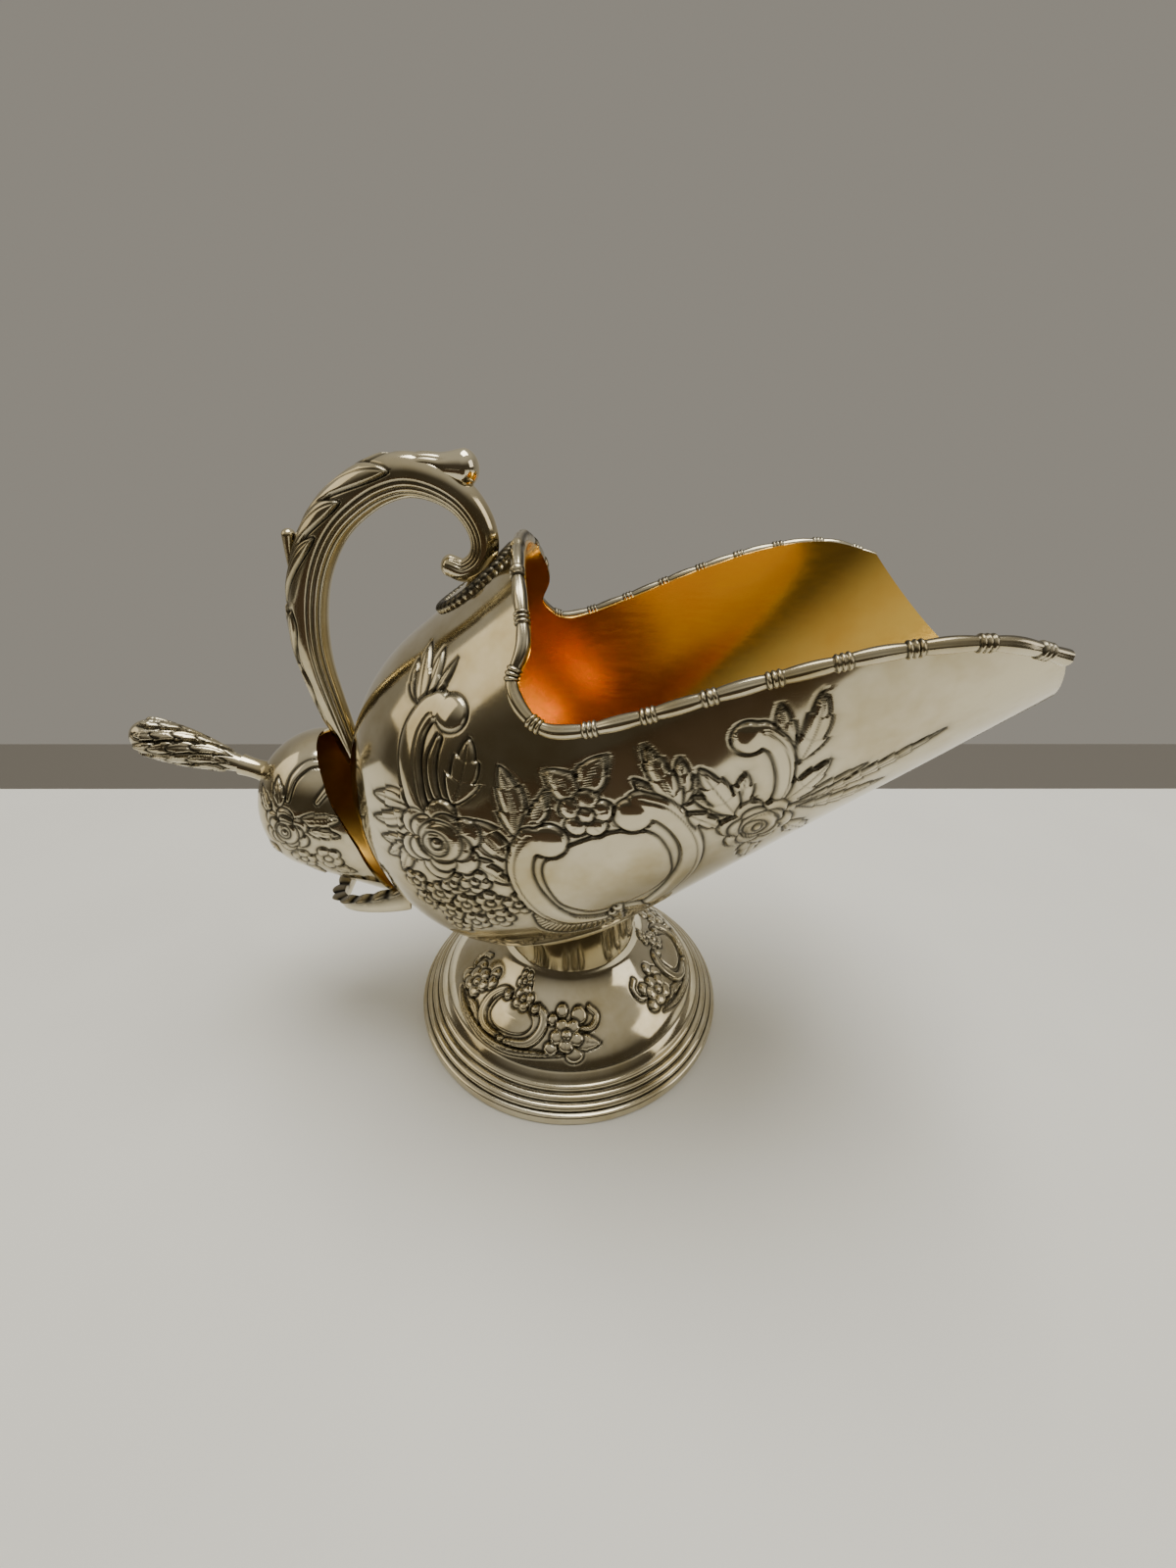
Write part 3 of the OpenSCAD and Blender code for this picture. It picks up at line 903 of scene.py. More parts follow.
@dataclass
class Bowl:
    """The bowl's two layers: chased silver sheet, and the gilding inside it."""

    form: BowlForm
    silver_wall: float = 0.6
    wall: float = 1.1
    # gap between corners where the sheet is chased, and where it is plain
    fine: float = 0.28
    plain: float = 1.2
    # the dome's length for each quarter turn of it, and how far that goes
    arc: float = 39.0

    def along(self, a: Array) -> Array:
        """From a place along the sheet to one along the axis."""
        back = -self.form.dome_length * np.sin(np.clip(-a / self.arc, 0, np.pi / 2))
        return np.where(a < 0, back, a)

    def chasing(self, a: Array, b: Array) -> Relief:
        """Raises the flowers and scrolls of one side; the other mirrors it.

        Args:
            a: each corner's place along the sheet.
            b: each corner's place across it.

        Returns:
            The relief.
        """
        r = Relief(a, b, depth=0.62)
        self._left(r)
        self._cartouche(r)
        self._right(r)
        return r

    def _cartouche(self, r: Relief) -> None:
        """The plain field in its frame of two C-scrolls.

        Args:
            r: the relief it is pressed into.
        """
        r.scroll([(-5.4, 7.4), (-5.9, 12.0), (-3.9, 16.6), (0.2, 20.6), (5.0, 22.8)],
                 (0.3, 1.4, 1.8, 1.5, 0.3), 0.15, hatch=1.0)
        r.panel([(3.0, -1.0), (1.6, 1.2), (0.5, 4.5), (0.0, 8.2), (0.9, 11.8),
                 (2.5, 15), (6, 17.3), (9, 18), (14, 18.2), (18.8, 16), (21.2, 12),
                 (22.3, 8.8), (22.6, 5), (20.8, 1.8), (16, -0.8), (9, -2.4),
                 (5, -2.2)], 0.2, 0.45)
        r.leaf((16.2, -8.0), (14.6, -15.4), 2.7, 0.6, 2, 0.12, 0.06)
        r.leaf((17.8, -8.4), (24.6, -12.0), 2.5, 0.6, 2, 0.12, -0.08)
        r.leaf((29.0, 2.6), (25.8, -6.4), 2.0, 0.6, 3, 0.3, -0.06)
        r.leaf((28.6, 1.8), (34.0, -1.4), 1.8, 0.6, 3, 0.3, 0.06)
        r.leaf((28.8, 2.2), (33.8, -5.4), 2.0, 0.6, 3, 0.3, 0.04)
        r.leaf((28.6, 2.6), (30.4, -10.2), 2.4, 0.7, 4, 0.3)
        r.scroll([(6.2, 20.2), (9.5, 22.6), (14, 22.0), (19, 19.2), (23.2, 15.5),
                  (26.0, 10.8), (27.0, 5.8), (26.4, 1.2), (24.2, -1.8)],
                 (1.0, 1.6, 2.0, 2.1, 2.1, 2.1, 2.2, 2.4, 2.6), 1.0, (0.42,),
                 knob=(22.0, -0.9, 3.3))
        r.scroll([(5.4, 19.6), (1.5, 17.6), (-1.8, 13.8), (-2.9, 9.2), (-2.8, 4.8),
                  (-2.0, 0.5), (-0.4, -3.0), (2.2, -5.6), (5.0, -6.6)],
                 (0.6, 1.0, 1.5, 1.9, 2.1, 2.1, 2.2, 2.3, 2.6), 1.0, (-0.42,),
                 knob=(7.4, -4.8, 3.3))
        r.leaf((6.4, 17.2), (3.6, 25.0), 1.5, 0.6, 3, 0.2, 0.1)
        r.leaf((6.8, 18.0), (8.6, 27.0), 1.6, 0.6, 3, 0.2, -0.1)
        r.boss((6.2, 17.6), 1.2, 1.1)
        r.boss((4.4, 18.6), 0.9, 0.9)
        r.flower((15.8, -5.4), 4.6, 5, 20, 1.0, 0.3)

    def _left(self, r: Relief) -> None:
        """The tall scroll with its plume, and the big rose below it.

        Args:
            r: the relief it is pressed into.
        """
        r.leaf((1.6, -37.0), (10.8, -40.4), 1.2, 0.5, 2, 0.2, 0.06, veins=0)
        r.leaf((0.6, -37.4), (3.0, -46.8), 1.5, 0.5, 2, 0.2, -0.05, veins=0)
        r.leaf((1.0, -37.0), (9.0, -44.4), 1.6, 0.55, 2, 0.2, 0.05, veins=0)
        r.leaf((0.8, -36.8), (6.4, -48.4), 1.9, 0.6, 2, 0.2, 0, veins=0)
        r.leaf((-8.4, -21.4), (-16.8, -28.4), 2.7, 0.6, 3, 0.3, 0.05)
        r.leaf((-10.6, -21.6), (-20.4, -24.4), 2.0, 0.5, 3, 0.3, -0.06)
        for tip in ((-21.4, -20.2), (-23, -16.4), (-22.4, -12.2)):
            r.leaf((-14.6, -16.6), tip, 1.8, 0.5, 3, 0.25)
        r.leaf((-2.4, -19.0), (6.6, -26.6), 3.3, 0.7, 3, 0.32, 0.04)
        r.leaf((3.4, -8.6), (8.6, -20.0), 3.0, 0.7, 3, 0.32, 0.07)
        r.leaf((4.6, -8.8), (12.8, -12.6), 1.8, 0.6, 3, 0.3, 0.1)
        r.scroll([(-8.4, -16.6), (-8.3, -22), (-7.0, -26.2), (-4.9, -30.4),
                  (-1.9, -33.8), (1.6, -35.4), (4.0, -34.8)],
                 (1.4, 1.8, 2.1, 2.3, 2.4, 2.5, 2.7), 1.1, (0.5,),
                 knob=(5.6, -32.2, 3.3))
        r.scroll([(-4.9, -18.8), (-3.6, -23.8), (-1.4, -27.6), (1.4, -29.8)],
                 (0.5, 0.8, 0.9, 0.6), 0.6)
        r.leaf((-1.6, -15.0), (-0.2, -5.2), 2.6, 0.7, 3, 0.3)
        r.leaf((-6.4, -9.6), (-3.6, -1.6), 2.2, 0.5, 3)
        for spot in ((-20.6, -9.4), (-22.4, -4.6), (-17.4, -5.6), (-12.8, -6.4),
                     (-19.4, -0.6), (-8.6, -5.2), (-14.2, -1.4), (-9.6, 0.2),
                     (-16.4, 3.4), (-11.2, 4.6), (-21.6, 3.4), (-5.6, 3.2)):
            r.flower(spot, 2.9, 5, 36 * spot[0], 0.7, 0.3)
        r.rose((-9.0, -14.8), 8.0, 12, 1.25)

    def _right(self, r: Relief) -> None:
        """The smaller scroll with its rose, leaves and the long spray.

        Args:
            r: the relief it is pressed into.
        """
        r.leaf((44.0, 16.6), (57.6, 23.4), 1.8, 0.35, 6, 0.35, 0.06, 0.9)
        r.leaf((42.0, 14.0), (56.4, 14.8), 1.5, 0.35, 5, 0.35, 0.04)
        r.leaf((43.6, 15.0), (68.6, 16.8), 1.5, 0.4, 9, 0.4, 0.05, 0.9)
        r.leaf((29.2, 4.2), (32.2, 11.2), 1.8, 0.6, 3)
        r.leaf((35.6, 9.6), (31.6, 1.8), 2.0, 0.6, 2, 0.3)
        r.leaf((35.8, 9.6), (40.6, 2.8), 2.3, 0.6, 3, 0.32)
        r.leaf((35.2, 9.8), (35.2, -2.0), 2.8, 0.7, 3, 0.32)
        r.leaf((47.8, 6.0), (50.4, -4.4), 2.1, 0.6, 3, 0.3, -0.05)
        r.leaf((48.2, 6.0), (56.2, -2.6), 2.4, 0.7, 3, 0.3, 0.06)
        r.leaf((40.6, 12.6), (52.2, 9.2), 2.8, 0.7, 4, 0.3, 0.05)
        r.leaf((34.2, 19.0), (30.0, 26.0), 2.2, 0.6, 3, 0.3)
        r.leaf((40.4, 20.0), (42.4, 28.0), 2.1, 0.6, 3, 0.3)
        r.scroll([(41.0, 12.2), (43.9, 9.4), (46.0, 5.6), (46.9, 1.6), (46.0, -1.6)],
                 (0.8, 1.3, 1.6, 1.8, 2.0), 0.9, (0.4,), knob=(44.0, -2.2, 2.7))
        r.rose((36.6, 14.8), 6.8, 40, 1.15)

    def build(self, silver: Material, gilt: Material) -> list[Object]:
        """Makes both layers.

        Args:
            silver: finish of the sheet.
            gilt: finish of the gilding.

        Returns:
            The sheet and the gilding.
        """
        f = self.form
        lo, hi = f.girth_table[0], f.girth_table[-1]
        girth = spaced((lo, -49, self.plain), (-49, 29, self.fine), (29, hi, self.plain))
        phi = np.interp(girth, f.girth_table, f.phi_table)
        pole = -self.arc * np.pi / 2
        steps = spaced((pole, -26, 0.9), (-26, 69, 0.33), (69, 82, 0.9))
        share = (steps[1:] - pole) / (steps[-1] - pole)
        reach = f.mouth(phi)
        end = np.where(reach < 0, -self.arc * np.arcsin(
            np.clip(-reach / f.dome_length, 0, 1)), reach)
        a = pole + (end[:, None] - pole) * share
        s = self.along(a)
        q = np.broadcast_to(phi[:, None], s.shape)
        g = np.where(s < 0, np.sqrt(1 - (s / f.dome_length) ** 2), 1)
        relief = self.chasing(a.ravel(), (girth[:, None] * g).ravel())
        points = f.skin(s, q) + f.out(s, q) * relief.height.reshape(s.shape)[..., None]
        dark = relief.ink.reshape(s.shape)
        mirror = np.array([1.0, -1.0, 1.0])
        whole = np.concatenate([points, points[-2:0:-1] * mirror])
        dark = np.concatenate([dark, dark[-2:0:-1]])

        def layer(grow: float, columns: int) -> tuple[Array, Array]:
            """The sheet's ribs and pole at another depth.

            Args:
                grow: how far it lies outside the skin.
                columns: corners from pole to edge.

            Returns:
                Its ribs and its pole.
            """
            part = np.linspace(0, 1, columns + 1)[1:] ** 1.3
            rib = self.along(pole + (end[:, None] - pole) * part)
            rib = np.where(rib < 0, rib * (f.dome_length + grow) / f.dome_length, rib)
            side = f.skin(rib, phi[:, None], grow)
            return (np.concatenate([side, side[-2:0:-1] * mirror]),
                    f.skin(-f.dome_length - grow, 0.0, grow))

        sheet_in = layer(-self.silver_wall, 24)
        sheet = closed_sheet(whole, f.skin(-f.dome_length, 0.0), *sheet_in, dark)
        body = place_piece(sheet.make("bowl_sheet", silver), Body.SCUTTLE, Slot.SILVER,
                           "bowl_shell")
        back, face = layer(-self.silver_wall - 0.02, 24), layer(-self.wall, 70)
        lining = closed_sheet(*back, *face)
        gilding = place_piece(lining.make("bowl_gilding", gilt), Body.SCUTTLE,
                              Slot.GILT, "bowl_shell")
        return [body, gilding]


@dataclass
class RimWire:
    """The wire soldered round the mouth, tied with groups of three beads."""

    form: BowlForm
    radius: float = 1.2
    outset: float = 0.45
    # how far its middle stands above the sheet's edge; below it when negative
    rise: float = -0.5
    ties: int = 13
    steps: int = 1500
    sides: int = 26
    bead_gap: float = 0.8

    def build(self, silver: Material) -> Object:
        """Makes the wire along both sides and over the crest.

        Args:
            silver: the silver plate.

        Returns:
            The wire.
        """
        f = self.form
        t = np.linspace(0, 1, self.steps + 1)
        side = np.where(t < 0.5, 1.0, -1.0)
        u = np.abs(2 * t - 1)
        s, phi = f.edge(u)
        phi = np.where(u < 1e-6, 0, phi) * side
        middle = f.skin(s, phi, self.outset)
        ahead = unit(np.gradient(middle, axis=0))
        away = f.skin(s, phi, 1.0) - f.skin(s, phi)
        away = unit(away - (away * ahead).sum(-1, keepdims=True) * ahead)
        across = np.cross(ahead, away)
        # it is soldered just below the sheet's edge, which shows as a bright line
        middle = middle + self.rise * across
        run = np.append(0, np.cumsum(np.linalg.norm(np.diff(middle, axis=0), axis=1)))
        half = run[-1] / 2
        pitch = half / self.ties
        beat = np.mod(np.abs(run - half) / pitch, 1)
        off = (beat - 0.5) * pitch
        # between two ties the wire swells like a bud; the ties are three beads
        spindle = 0.70 + 0.32 * np.sin(np.pi * np.mod(beat + 0.5, 1)) ** 0.8
        beads = 0.80 + 0.34 * np.abs(np.cos(np.pi * off / self.bead_gap)) ** 0.7
        tied = np.abs(off) < 1.5 * self.bead_gap
        size = np.where(tied, beads, spindle)
        turn = np.linspace(0, 2 * np.pi, self.sides, endpoint=False)
        reed = bell(np.angle(np.exp(1j * (turn - 0.55))), 0.2)
        seam = np.where(tied, 0.2, 1.0)[:, None] * reed
        r = self.radius * (size[:, None] - 0.12 * seam)
        valley = bell(np.abs(np.abs(off) - 0.5 * self.bead_gap), 0.13)
        valley += bell(np.abs(off) - 1.5 * self.bead_gap, 0.16)
        dark = np.clip(np.maximum(valley[:, None], 0.7 * seam ** 2), 0, 1)
        under = bell(np.angle(np.exp(1j * (turn - np.pi / 2))), 0.55)
        dark = np.maximum(dark, 0.95 * under)
        rings = (middle[:, None] + r[..., None] * (
            np.cos(turn)[:, None] * away[:, None] + np.sin(turn)[:, None] * across[:, None]))
        parts = MeshParts()
        first = parts.add(rings, dark)
        parts.grid(first, len(t), self.sides, around=True)
        parts.fan(parts.add(middle[0]), first, self.sides, flip=True)
        parts.fan(parts.add(middle[-1]), first + self.steps * self.sides, self.sides)
        return place_piece(parts.make("rim_wire", silver), Body.SCUTTLE, Slot.SILVER,
                           "rim_border")


@dataclass
class Handle:
    """The cast handle: a reeded loop wrapped in leaves, its curl and leaf tip."""

    stations: tuple[Point, ...] = (
        (-47.4, 69.6), (-49, 77), (-50.6, 85.4), (-51.6, 92), (-51.8, 98.4),
        (-51, 104.8), (-49.2, 110.8), (-46.6, 116), (-43.4, 120.2), (-39.4, 123.6),
        (-34.6, 126.4), (-29.4, 127.8), (-24.4, 127), (-20, 124.4), (-17.2, 120.6),
        (-16.4, 116.8), (-17.6, 113.8), (-20.4, 112.2), (-23.2, 113))
    depths: tuple[float, ...] = (1.6, 2.4, 2.9, 3.2, 3.5) + (3.7,) * 7 + (
        3.5, 3.1, 2.8, 2.6, 2.4, 2.1, 2.0)
    widths: tuple[float, ...] = (2.6, 2.6, 2.8, 3.0) + (3.3,) * 9 + (
        3.0, 2.8, 2.7, 2.6, 2.4, 2.2)
    curl: tuple[Point, ...] = ((-31, 129), (-26.4, 129.4), (-21.6, 130), (-18.2, 129.8))
    tip: tuple[Point, ...] = ((-51.4, 109.4), (-52.1, 113.4), (-51.9, 117.6))

    def _loop(self, silver: Material) -> Object:
        """The loop with its reeds and leaf wraps.

        Args:
            silver: the silver plate.

        Returns:
            The loop.
        """
        rod = Rod(self.stations, self.depths, self.widths, 420, 240, cap=1.6)
        a = np.broadcast_to(rod.along[:, None], (len(rod.along), rod.sides))
        q = np.abs(np.angle(np.exp(1j * rod.turn)))
        b = np.broadcast_to(q * 3.5, a.shape)
        r = Relief(a.ravel(), b.ravel(), line=0.16, cut=0.2)
        deg = np.degrees(b.ravel() / 3.5)
        fade = rising((r.a - 4) / 10) * rising((rod.along[-1] - r.a) / 6)
        # three reeds close together along the inside
        for spot in (101, 118, 137):
            r.height -= 0.16 * bell(deg - spot, 4.6) * fade
            r.ink = np.maximum(r.ink, 0.9 * bell(deg - spot, 3.4) * fade)
        # the wrap of leaves over the top, then the scrolled leaf up the back
        r.leaf((33, 0.2), (68, 0.2), 3.1, 0.35, 1, 0.0, 0, 1.0, 0)
        r.leaf((33, 1.4), (49.5, 5.0), 1.3, 0.5, 1, 0.0, -0.06, 1.7, 0)
        r.leaf((38, 0.9), (57.5, 4.9), 1.8, 0.5, 1, 0.0, -0.06, 1.7, 0)
        r.leaf((46, 0.5), (67.5, 4.6), 2.2, 0.5, 1, 0.0, -0.06, 1.7, 0)
        r.leaf((8, 0.0), (22, 1.0), 2.2, 0.4, 1, 0.0, 0, 1.4, 0)
        r.leaf((14, 1.6), (24, 2.6), 1.3, 0.4, 1, 0.0, 0, 1.5, 0)
        r.leaf((20, 0.2), (36, 1.4), 2.6, 0.45, 1, 0.0, 0, 1.3, 0)
        r.leaf((25, 2.0), (35, 3.2), 1.3, 0.4, 1, 0.0, 0, 1.5, 0)
        shape = a.shape
        parts = rod.mesh(np.clip(r.height, -0.45, 0.6).reshape(shape),
                         r.ink.reshape(shape))
        return parts.make("handle_loop", silver, 80.0)

    def _curl(self, silver: Material) -> Object:
        """The leaf along the top that stands off and ends in a knob.

        Args:
            silver: the silver plate.

        Returns:
            The curl.
        """
        path = [(-36.5, 126.4), (-31, 128.5), (-26.4, 129.5), (-22.8, 129.2),
                (-19.2, 129.1)]
        rod = Rod(path, (1.0, 1.9, 2.0, 2.3, 3.1), (1.4, 2.9, 2.6, 2.4, 3.1), 120, 96,
                  cap=2.7)
        a = np.broadcast_to(rod.along[:, None], (len(rod.along), rod.sides))
        q = np.abs(np.angle(np.exp(1j * rod.turn)))
        r = Relief(a.ravel(), np.broadcast_to(q * 2.2, a.shape).ravel(), 0.15, 0.16)
        for line in (0.0, 1.5, 2.8):
            fade = rising((r.a - 1) / 3) * rising((16 - r.a) / 5)
            groove = bell(r.b - line - 0.04 * r.a, 0.2) * fade
            r.height -= 0.15 * groove
            r.ink = np.maximum(r.ink, 0.7 * groove)
        r.ink = np.maximum(r.ink, 0.8 * bell(r.b - 6.2, 0.7) * rising((17 - r.a) / 2))
        parts = rod.mesh(r.height.reshape(a.shape), r.ink.reshape(a.shape))
        return parts.make("handle_curl", silver, 80.0)

    def _tip(self, silver: Material) -> Object:
        """The leaf tip that stands off the handle's back."""
        path = [(-50.2, 103.6)] + list(self.tip)
        rod = Rod(path, (1.0, 1.5, 1.0, 1.2), (2.2, 2.2, 1.6, 1.5), 60, 40, cap=1.1)
        return rod.mesh().make("handle_leaf_tip", silver)

    def build(self, silver: Material) -> list[Object]:
        """Makes the loop, the curl and the tip."""
        pieces = [self._loop(silver), self._curl(silver), self._tip(silver)]
        return [place_piece(p, Body.SCUTTLE, Slot.SILVER, "handle") for p in pieces]


@dataclass
class HandlePlate:
    """The oval plate the handle is soldered to, with a gadrooned edge."""

    form: BowlForm
    centre: float = 17.0
    half_length: float = 10.0
    half_width: float = 7.2
    thickness: float = 1.1
    lobes: int = 38

    def build(self, silver: Material) -> Object:
        """Makes the plate, bent to the bowl's crown.

        Args:
            silver: the silver plate.

        Returns:
            The plate.
        """
        around, rings = 360, 40
        turn = np.linspace(0, 2 * np.pi, around, endpoint=False)[:, None]
        r = np.linspace(0, 1, rings + 1)[1:]
        lobe = np.abs(np.sin(self.lobes * turn / 2))
        edge = 1 - 0.035 * (1 - lobe)
        band = rising((r - 0.72) / 0.06)
        rib = dome((r - 0.87) / 0.135) * (0.82 + 0.18 * lobe ** 0.6)
        lift = 0.35 + 0.25 * dome(r / 0.75) * (1 - band) + band * 0.75 * rib - 0.2 * bell(
            r - 0.72, 0.03)
        dark = np.maximum(bell(r - 0.72, 0.045), band * (0.88 + 0.12 * (1 - lobe) ** 1.5))

        def face(height: Array) -> Array:
            """The plate's corners at a height over the sheet.

            Args:
                height: height of each corner over the sheet.

            Returns:
                The corners.
            """
            s = self.centre + self.half_length * r * edge * np.cos(turn)
            y = self.half_width * r * edge * np.sin(turn)
            phi = np.arcsin(y / self.form.half_width)
            return self.form.skin(s, phi) + self.form.out(s, phi) * height[..., None]

        top = face(np.broadcast_to(lift * self.thickness, (around, rings)))
        low = face(np.full((around, rings), 0.01))
        middle = self.form.skin(self.centre, 0.0)
        up = np.array([self.form.up[0], 0, self.form.up[1]])
        parts = closed_sheet(top, middle + up * 0.66, low, middle + up * 0.01, dark)
        return place_piece(parts.make("handle_plate_cast", silver), Body.SCUTTLE,
                           Slot.SILVER, "handle_plate")


@dataclass
class Foot:
    """The spun foot: reeded base, chased dome and the collar under the bowl."""

    form: BowlForm
    wall: float = 1.0
    ornaments: int = 3
    first_at: float = -31.0
    mm_per_degree: float = 0.47
    profile: tuple[Point, ...] = ((32.6, 8.8), (30.9, 11), (28.4, 13.2), (25.4, 15.3),
                                  (22.4, 17.3), (19.6, 19.4), (17.5, 21.6), (16.4, 23.6))

    def _base(self, silver: Material) -> Object:
        """The stepped and reeded base ring.

        Args:
            silver: the silver plate.

        Returns:
            The ring.
        """
        # (radius, height, patina) up the outside
        outside = np.array([
            (38.7, 0.0, 0.3), (39.6, 0.02, 0), (39.9, 0.25, 0), (39.98, 0.7, 0),
            (39.98, 1.4, 0), (39.9, 2.0, 0), (39.6, 2.4, 0), (39.1, 2.6, 0.2),
            (38.75, 2.7, 0.95), (38.6, 2.9, 0.9), (38.6, 3.2, 0.1), (38.45, 3.6, 0),
            (38.1, 3.9, 0), (37.6, 4.05, 0.1), (37.25, 4.12, 0.95), (37.1, 4.3, 0.9),
            (37.1, 4.6, 0.1), (36.95, 5.0, 0), (36.55, 5.3, 0), (36.0, 5.45, 0.1),
            (35.65, 5.52, 0.95), (35.5, 5.7, 0.8), (35.45, 6.0, 0), (35.3, 6.35, 0),
            (35.0, 6.6, 0), (34.6, 6.75, 0.3), (34.45, 6.85, 0.6), (34.2, 7.1, 0),
            (33.7, 7.7, 0), (33.2, 8.25, 0), (32.85, 8.6, 0.1), (32.55, 8.78, 0.9)])
        fine = spline(outside, np.linspace(0, 1, 3 * len(outside)))
        fine[:, 0] = np.minimum(fine[:, 0], 39.98)
        fine[:, 1] = np.maximum(fine[:, 1], 0.0)
        back = fine[::-1].copy()
        back[:, 0] -= self.wall
        back[:, 1] = np.maximum(back[:, 1] - 0.5 * self.wall, 0.02)
        ring = np.concatenate([fine, back[::3]])
        parts = lathe(ring[:, :2], 288, np.clip(ring[:, 2], 0, 1))
        return place_piece(parts.make("foot_ring", silver), Body.SCUTTLE, Slot.SILVER,
                           "foot_base")

    def _ornament(self, a: Array, b: Array) -> Relief:
        """One cartouche with its flowers, round the dome by up the dome.

        Args:
            a: each corner's place along the sheet.
            b: each corner's place across it.

        Returns:
            The relief.
        """
        r = Relief(a, b, line=0.2, cut=0.2, depth=0.85)
        r.leaf((-5.5, 3.0), (-15.5, 5.0), 1.3, 0.5, 4, 0.3, -0.1)
        r.scroll([(-16.6, 4.4), (-12.5, 3.1), (-7.5, 2.3), (-3.0, 1.6), (2.4, 1.8),
                  (8.0, 2.9), (14.4, 3.6)], (0.3, 0.7, 0.9, 0.9, 0.9, 0.8, 0.3), 0.6,
                 (0.0,))
        r.scroll([(-16.5, 9.5), (-20.2, 10.4), (-20.6, 13.4), (-18.6, 14.8)],
                 (0.5, 0.7, 0.8, 0.9), 0.6)
        r.panel([(-4.9, 11.4), (-1.4, 12.3), (2.9, 12.2), (5.9, 9.4), (5.2, 6.8),
                 (2.2, 5.3), (-2.4, 5.1), (-5.2, 7.0)], 0.2, 0.5)
        r.scroll([(-1.2, 3.6), (-4.8, 4.0), (-7.1, 6.1), (-7.6, 9.8), (-5.9, 12.8),
                  (-3.4, 13.4)], (0.8, 1.1, 1.2, 1.2, 1.1, 1.0), 0.85, (0.0,))
        r.curl((-3.6, 12.6), 1.3, 1.0, 0.3)
        r.scroll([(1.4, 3.4), (6.2, 4.8), (8.6, 8.2), (8.5, 11.4), (6.4, 13.0)],
                 (0.8, 1.1, 1.2, 1.2, 1.0), 0.85, (0.0,))
        r.curl((5.6, 12.4), 1.3, 1.0, 2.0, -1)
        r.boss((0.0, 3.4), 0.8, 0.9)
        for spot in ((-17.9, 7.2), (-17.5, 11.5), (-11.6, 13.8), (-10.4, 11.7)):
            r.boss(spot, 1.8, 0.8)
        r.flower((-14.2, 9.0), 4.0, 5, 20, 0.9, 0.3)
        r.flower((-0.6, 17.4), 2.9, 5, 60, 0.7, 0.3)
        r.flower((1.3, 13.7), 3.2, 5, 15, 0.8, 0.3)
        r.scroll([(16.4, 9.6), (20.6, 9.2), (22.6, 11.6), (21, 13.6)],
                 (0.5, 0.8, 0.9, 0.9), 0.6)
        for spot, size in (((13.2, 13.1), 1.8), ((17.9, 12.2), 2.2), ((11.0, 11.0), 1.5),
                           ((11.4, 4.8), 1.6), ((16.4, 3.6), 1.9)):
            r.boss(spot, size, 0.7)
        r.leaf((16.2, 6.8), (22.4, 5.4), 2.0, 0.6, 2, 0.1)
        r.flower((14.7, 7.9), 4.0, 5, 50, 0.9, 0.3)
        return r

    def _dome(self, silver: Material) -> Object:
        """The dome with its three ornaments, and the neck above it.

        Args:
            silver: the silver plate.

        Returns:
            The dome.
        """
        rows = spline(self.profile, np.linspace(0, 1, 96))
        ahead = unit(np.gradient(rows, axis=0))
        outward = np.stack([ahead[:, 1], -ahead[:, 0]], -1)
        run = np.append(0, np.cumsum(np.linalg.norm(np.diff(rows, axis=0), axis=1)))
        per = 214
        deg = (np.arange(per) / per - 0.5) * 360 / self.ornaments
        a, b = np.broadcast_arrays(deg[:, None] * self.mm_per_degree, run)
        relief = self._ornament(a.ravel().copy(), b.ravel().copy())
        height = relief.height.reshape(per, -1)
        dark = relief.ink.reshape(per, -1)
        dark = np.maximum(dark, 0.8 * bell(run, 0.35))
        skin = rows + outward * height[..., None]
        inner = (rows - outward * self.wall)[::-6]
        ring = np.concatenate([skin, np.broadcast_to(inner, (per,) + inner.shape)], 1)
        dark = np.concatenate([dark, np.zeros((per, len(inner)))], 1)
        parts = lathe(np.tile(ring, (self.ornaments, 1, 1)), per * self.ornaments,
                      np.tile(dark, (self.ornaments, 1)))
        # the first ornament's middle stands at first_at from the front
        turn = math.radians(self.first_at - deg[0])
        c, s = math.cos(turn), math.sin(turn)
        for points in parts.points:
            x, y = points[:, 0].copy(), points[:, 1].copy()
            points[:, 0], points[:, 1] = c * x - s * y, s * x + c * y
        return place_piece(parts.make("foot_dome_chased", silver), Body.SCUTTLE,
                           Slot.SILVER, "foot_dome")

    def _collar(self, silver: Material) -> Object:
        """The collar that flares up to the bowl.

        Args:
            silver: the silver plate.

        Returns:
            The collar.
        """
        rows, around = 28, 288
        turn = np.linspace(0, 2 * np.pi, around, endpoint=False)[:, None]
        u = np.linspace(0, 1, rows + 1)
        flare = 16.4 + 2.8 * u ** 2

        def wall(inset: float, share: Array) -> Array:
            """Corners of one face of the collar, from neck to bowl.

            Args:
                inset: how far in from the outer face.
                share: share of the way up.

            Returns:
                The corners.
            """
            radius = np.interp(share, u, flare) - inset
            top = self.form.underside((19.2 - inset) * np.sin(turn),
                                      (19.2 - inset) * np.cos(turn), 0.02)
            z = 23.6 + (top - 23.6) * share
            return np.stack(np.broadcast_arrays(radius * np.sin(turn),
                                                -radius * np.cos(turn), z), -1)

        ring = np.concatenate([wall(0, u), wall(self.wall, u[::-4])], 1)
        dark = np.zeros(ring.shape[:2])
        dark[:, :rows + 1] = 0.7 * bell(u - 1, 0.05)
        parts = MeshParts()
        first = parts.add(ring, dark)
        cols = ring.shape[1]
        parts.grid(first, around, cols, around=True)
        c = np.arange(cols)
        last = first + (around - 1) * cols
        parts.quads.append(np.stack([last + c, last + (c + 1) % cols,
                                     first + (c + 1) % cols, first + c], -1))
        return place_piece(parts.make("foot_neck", silver), Body.SCUTTLE, Slot.SILVER,
                           "foot_collar")

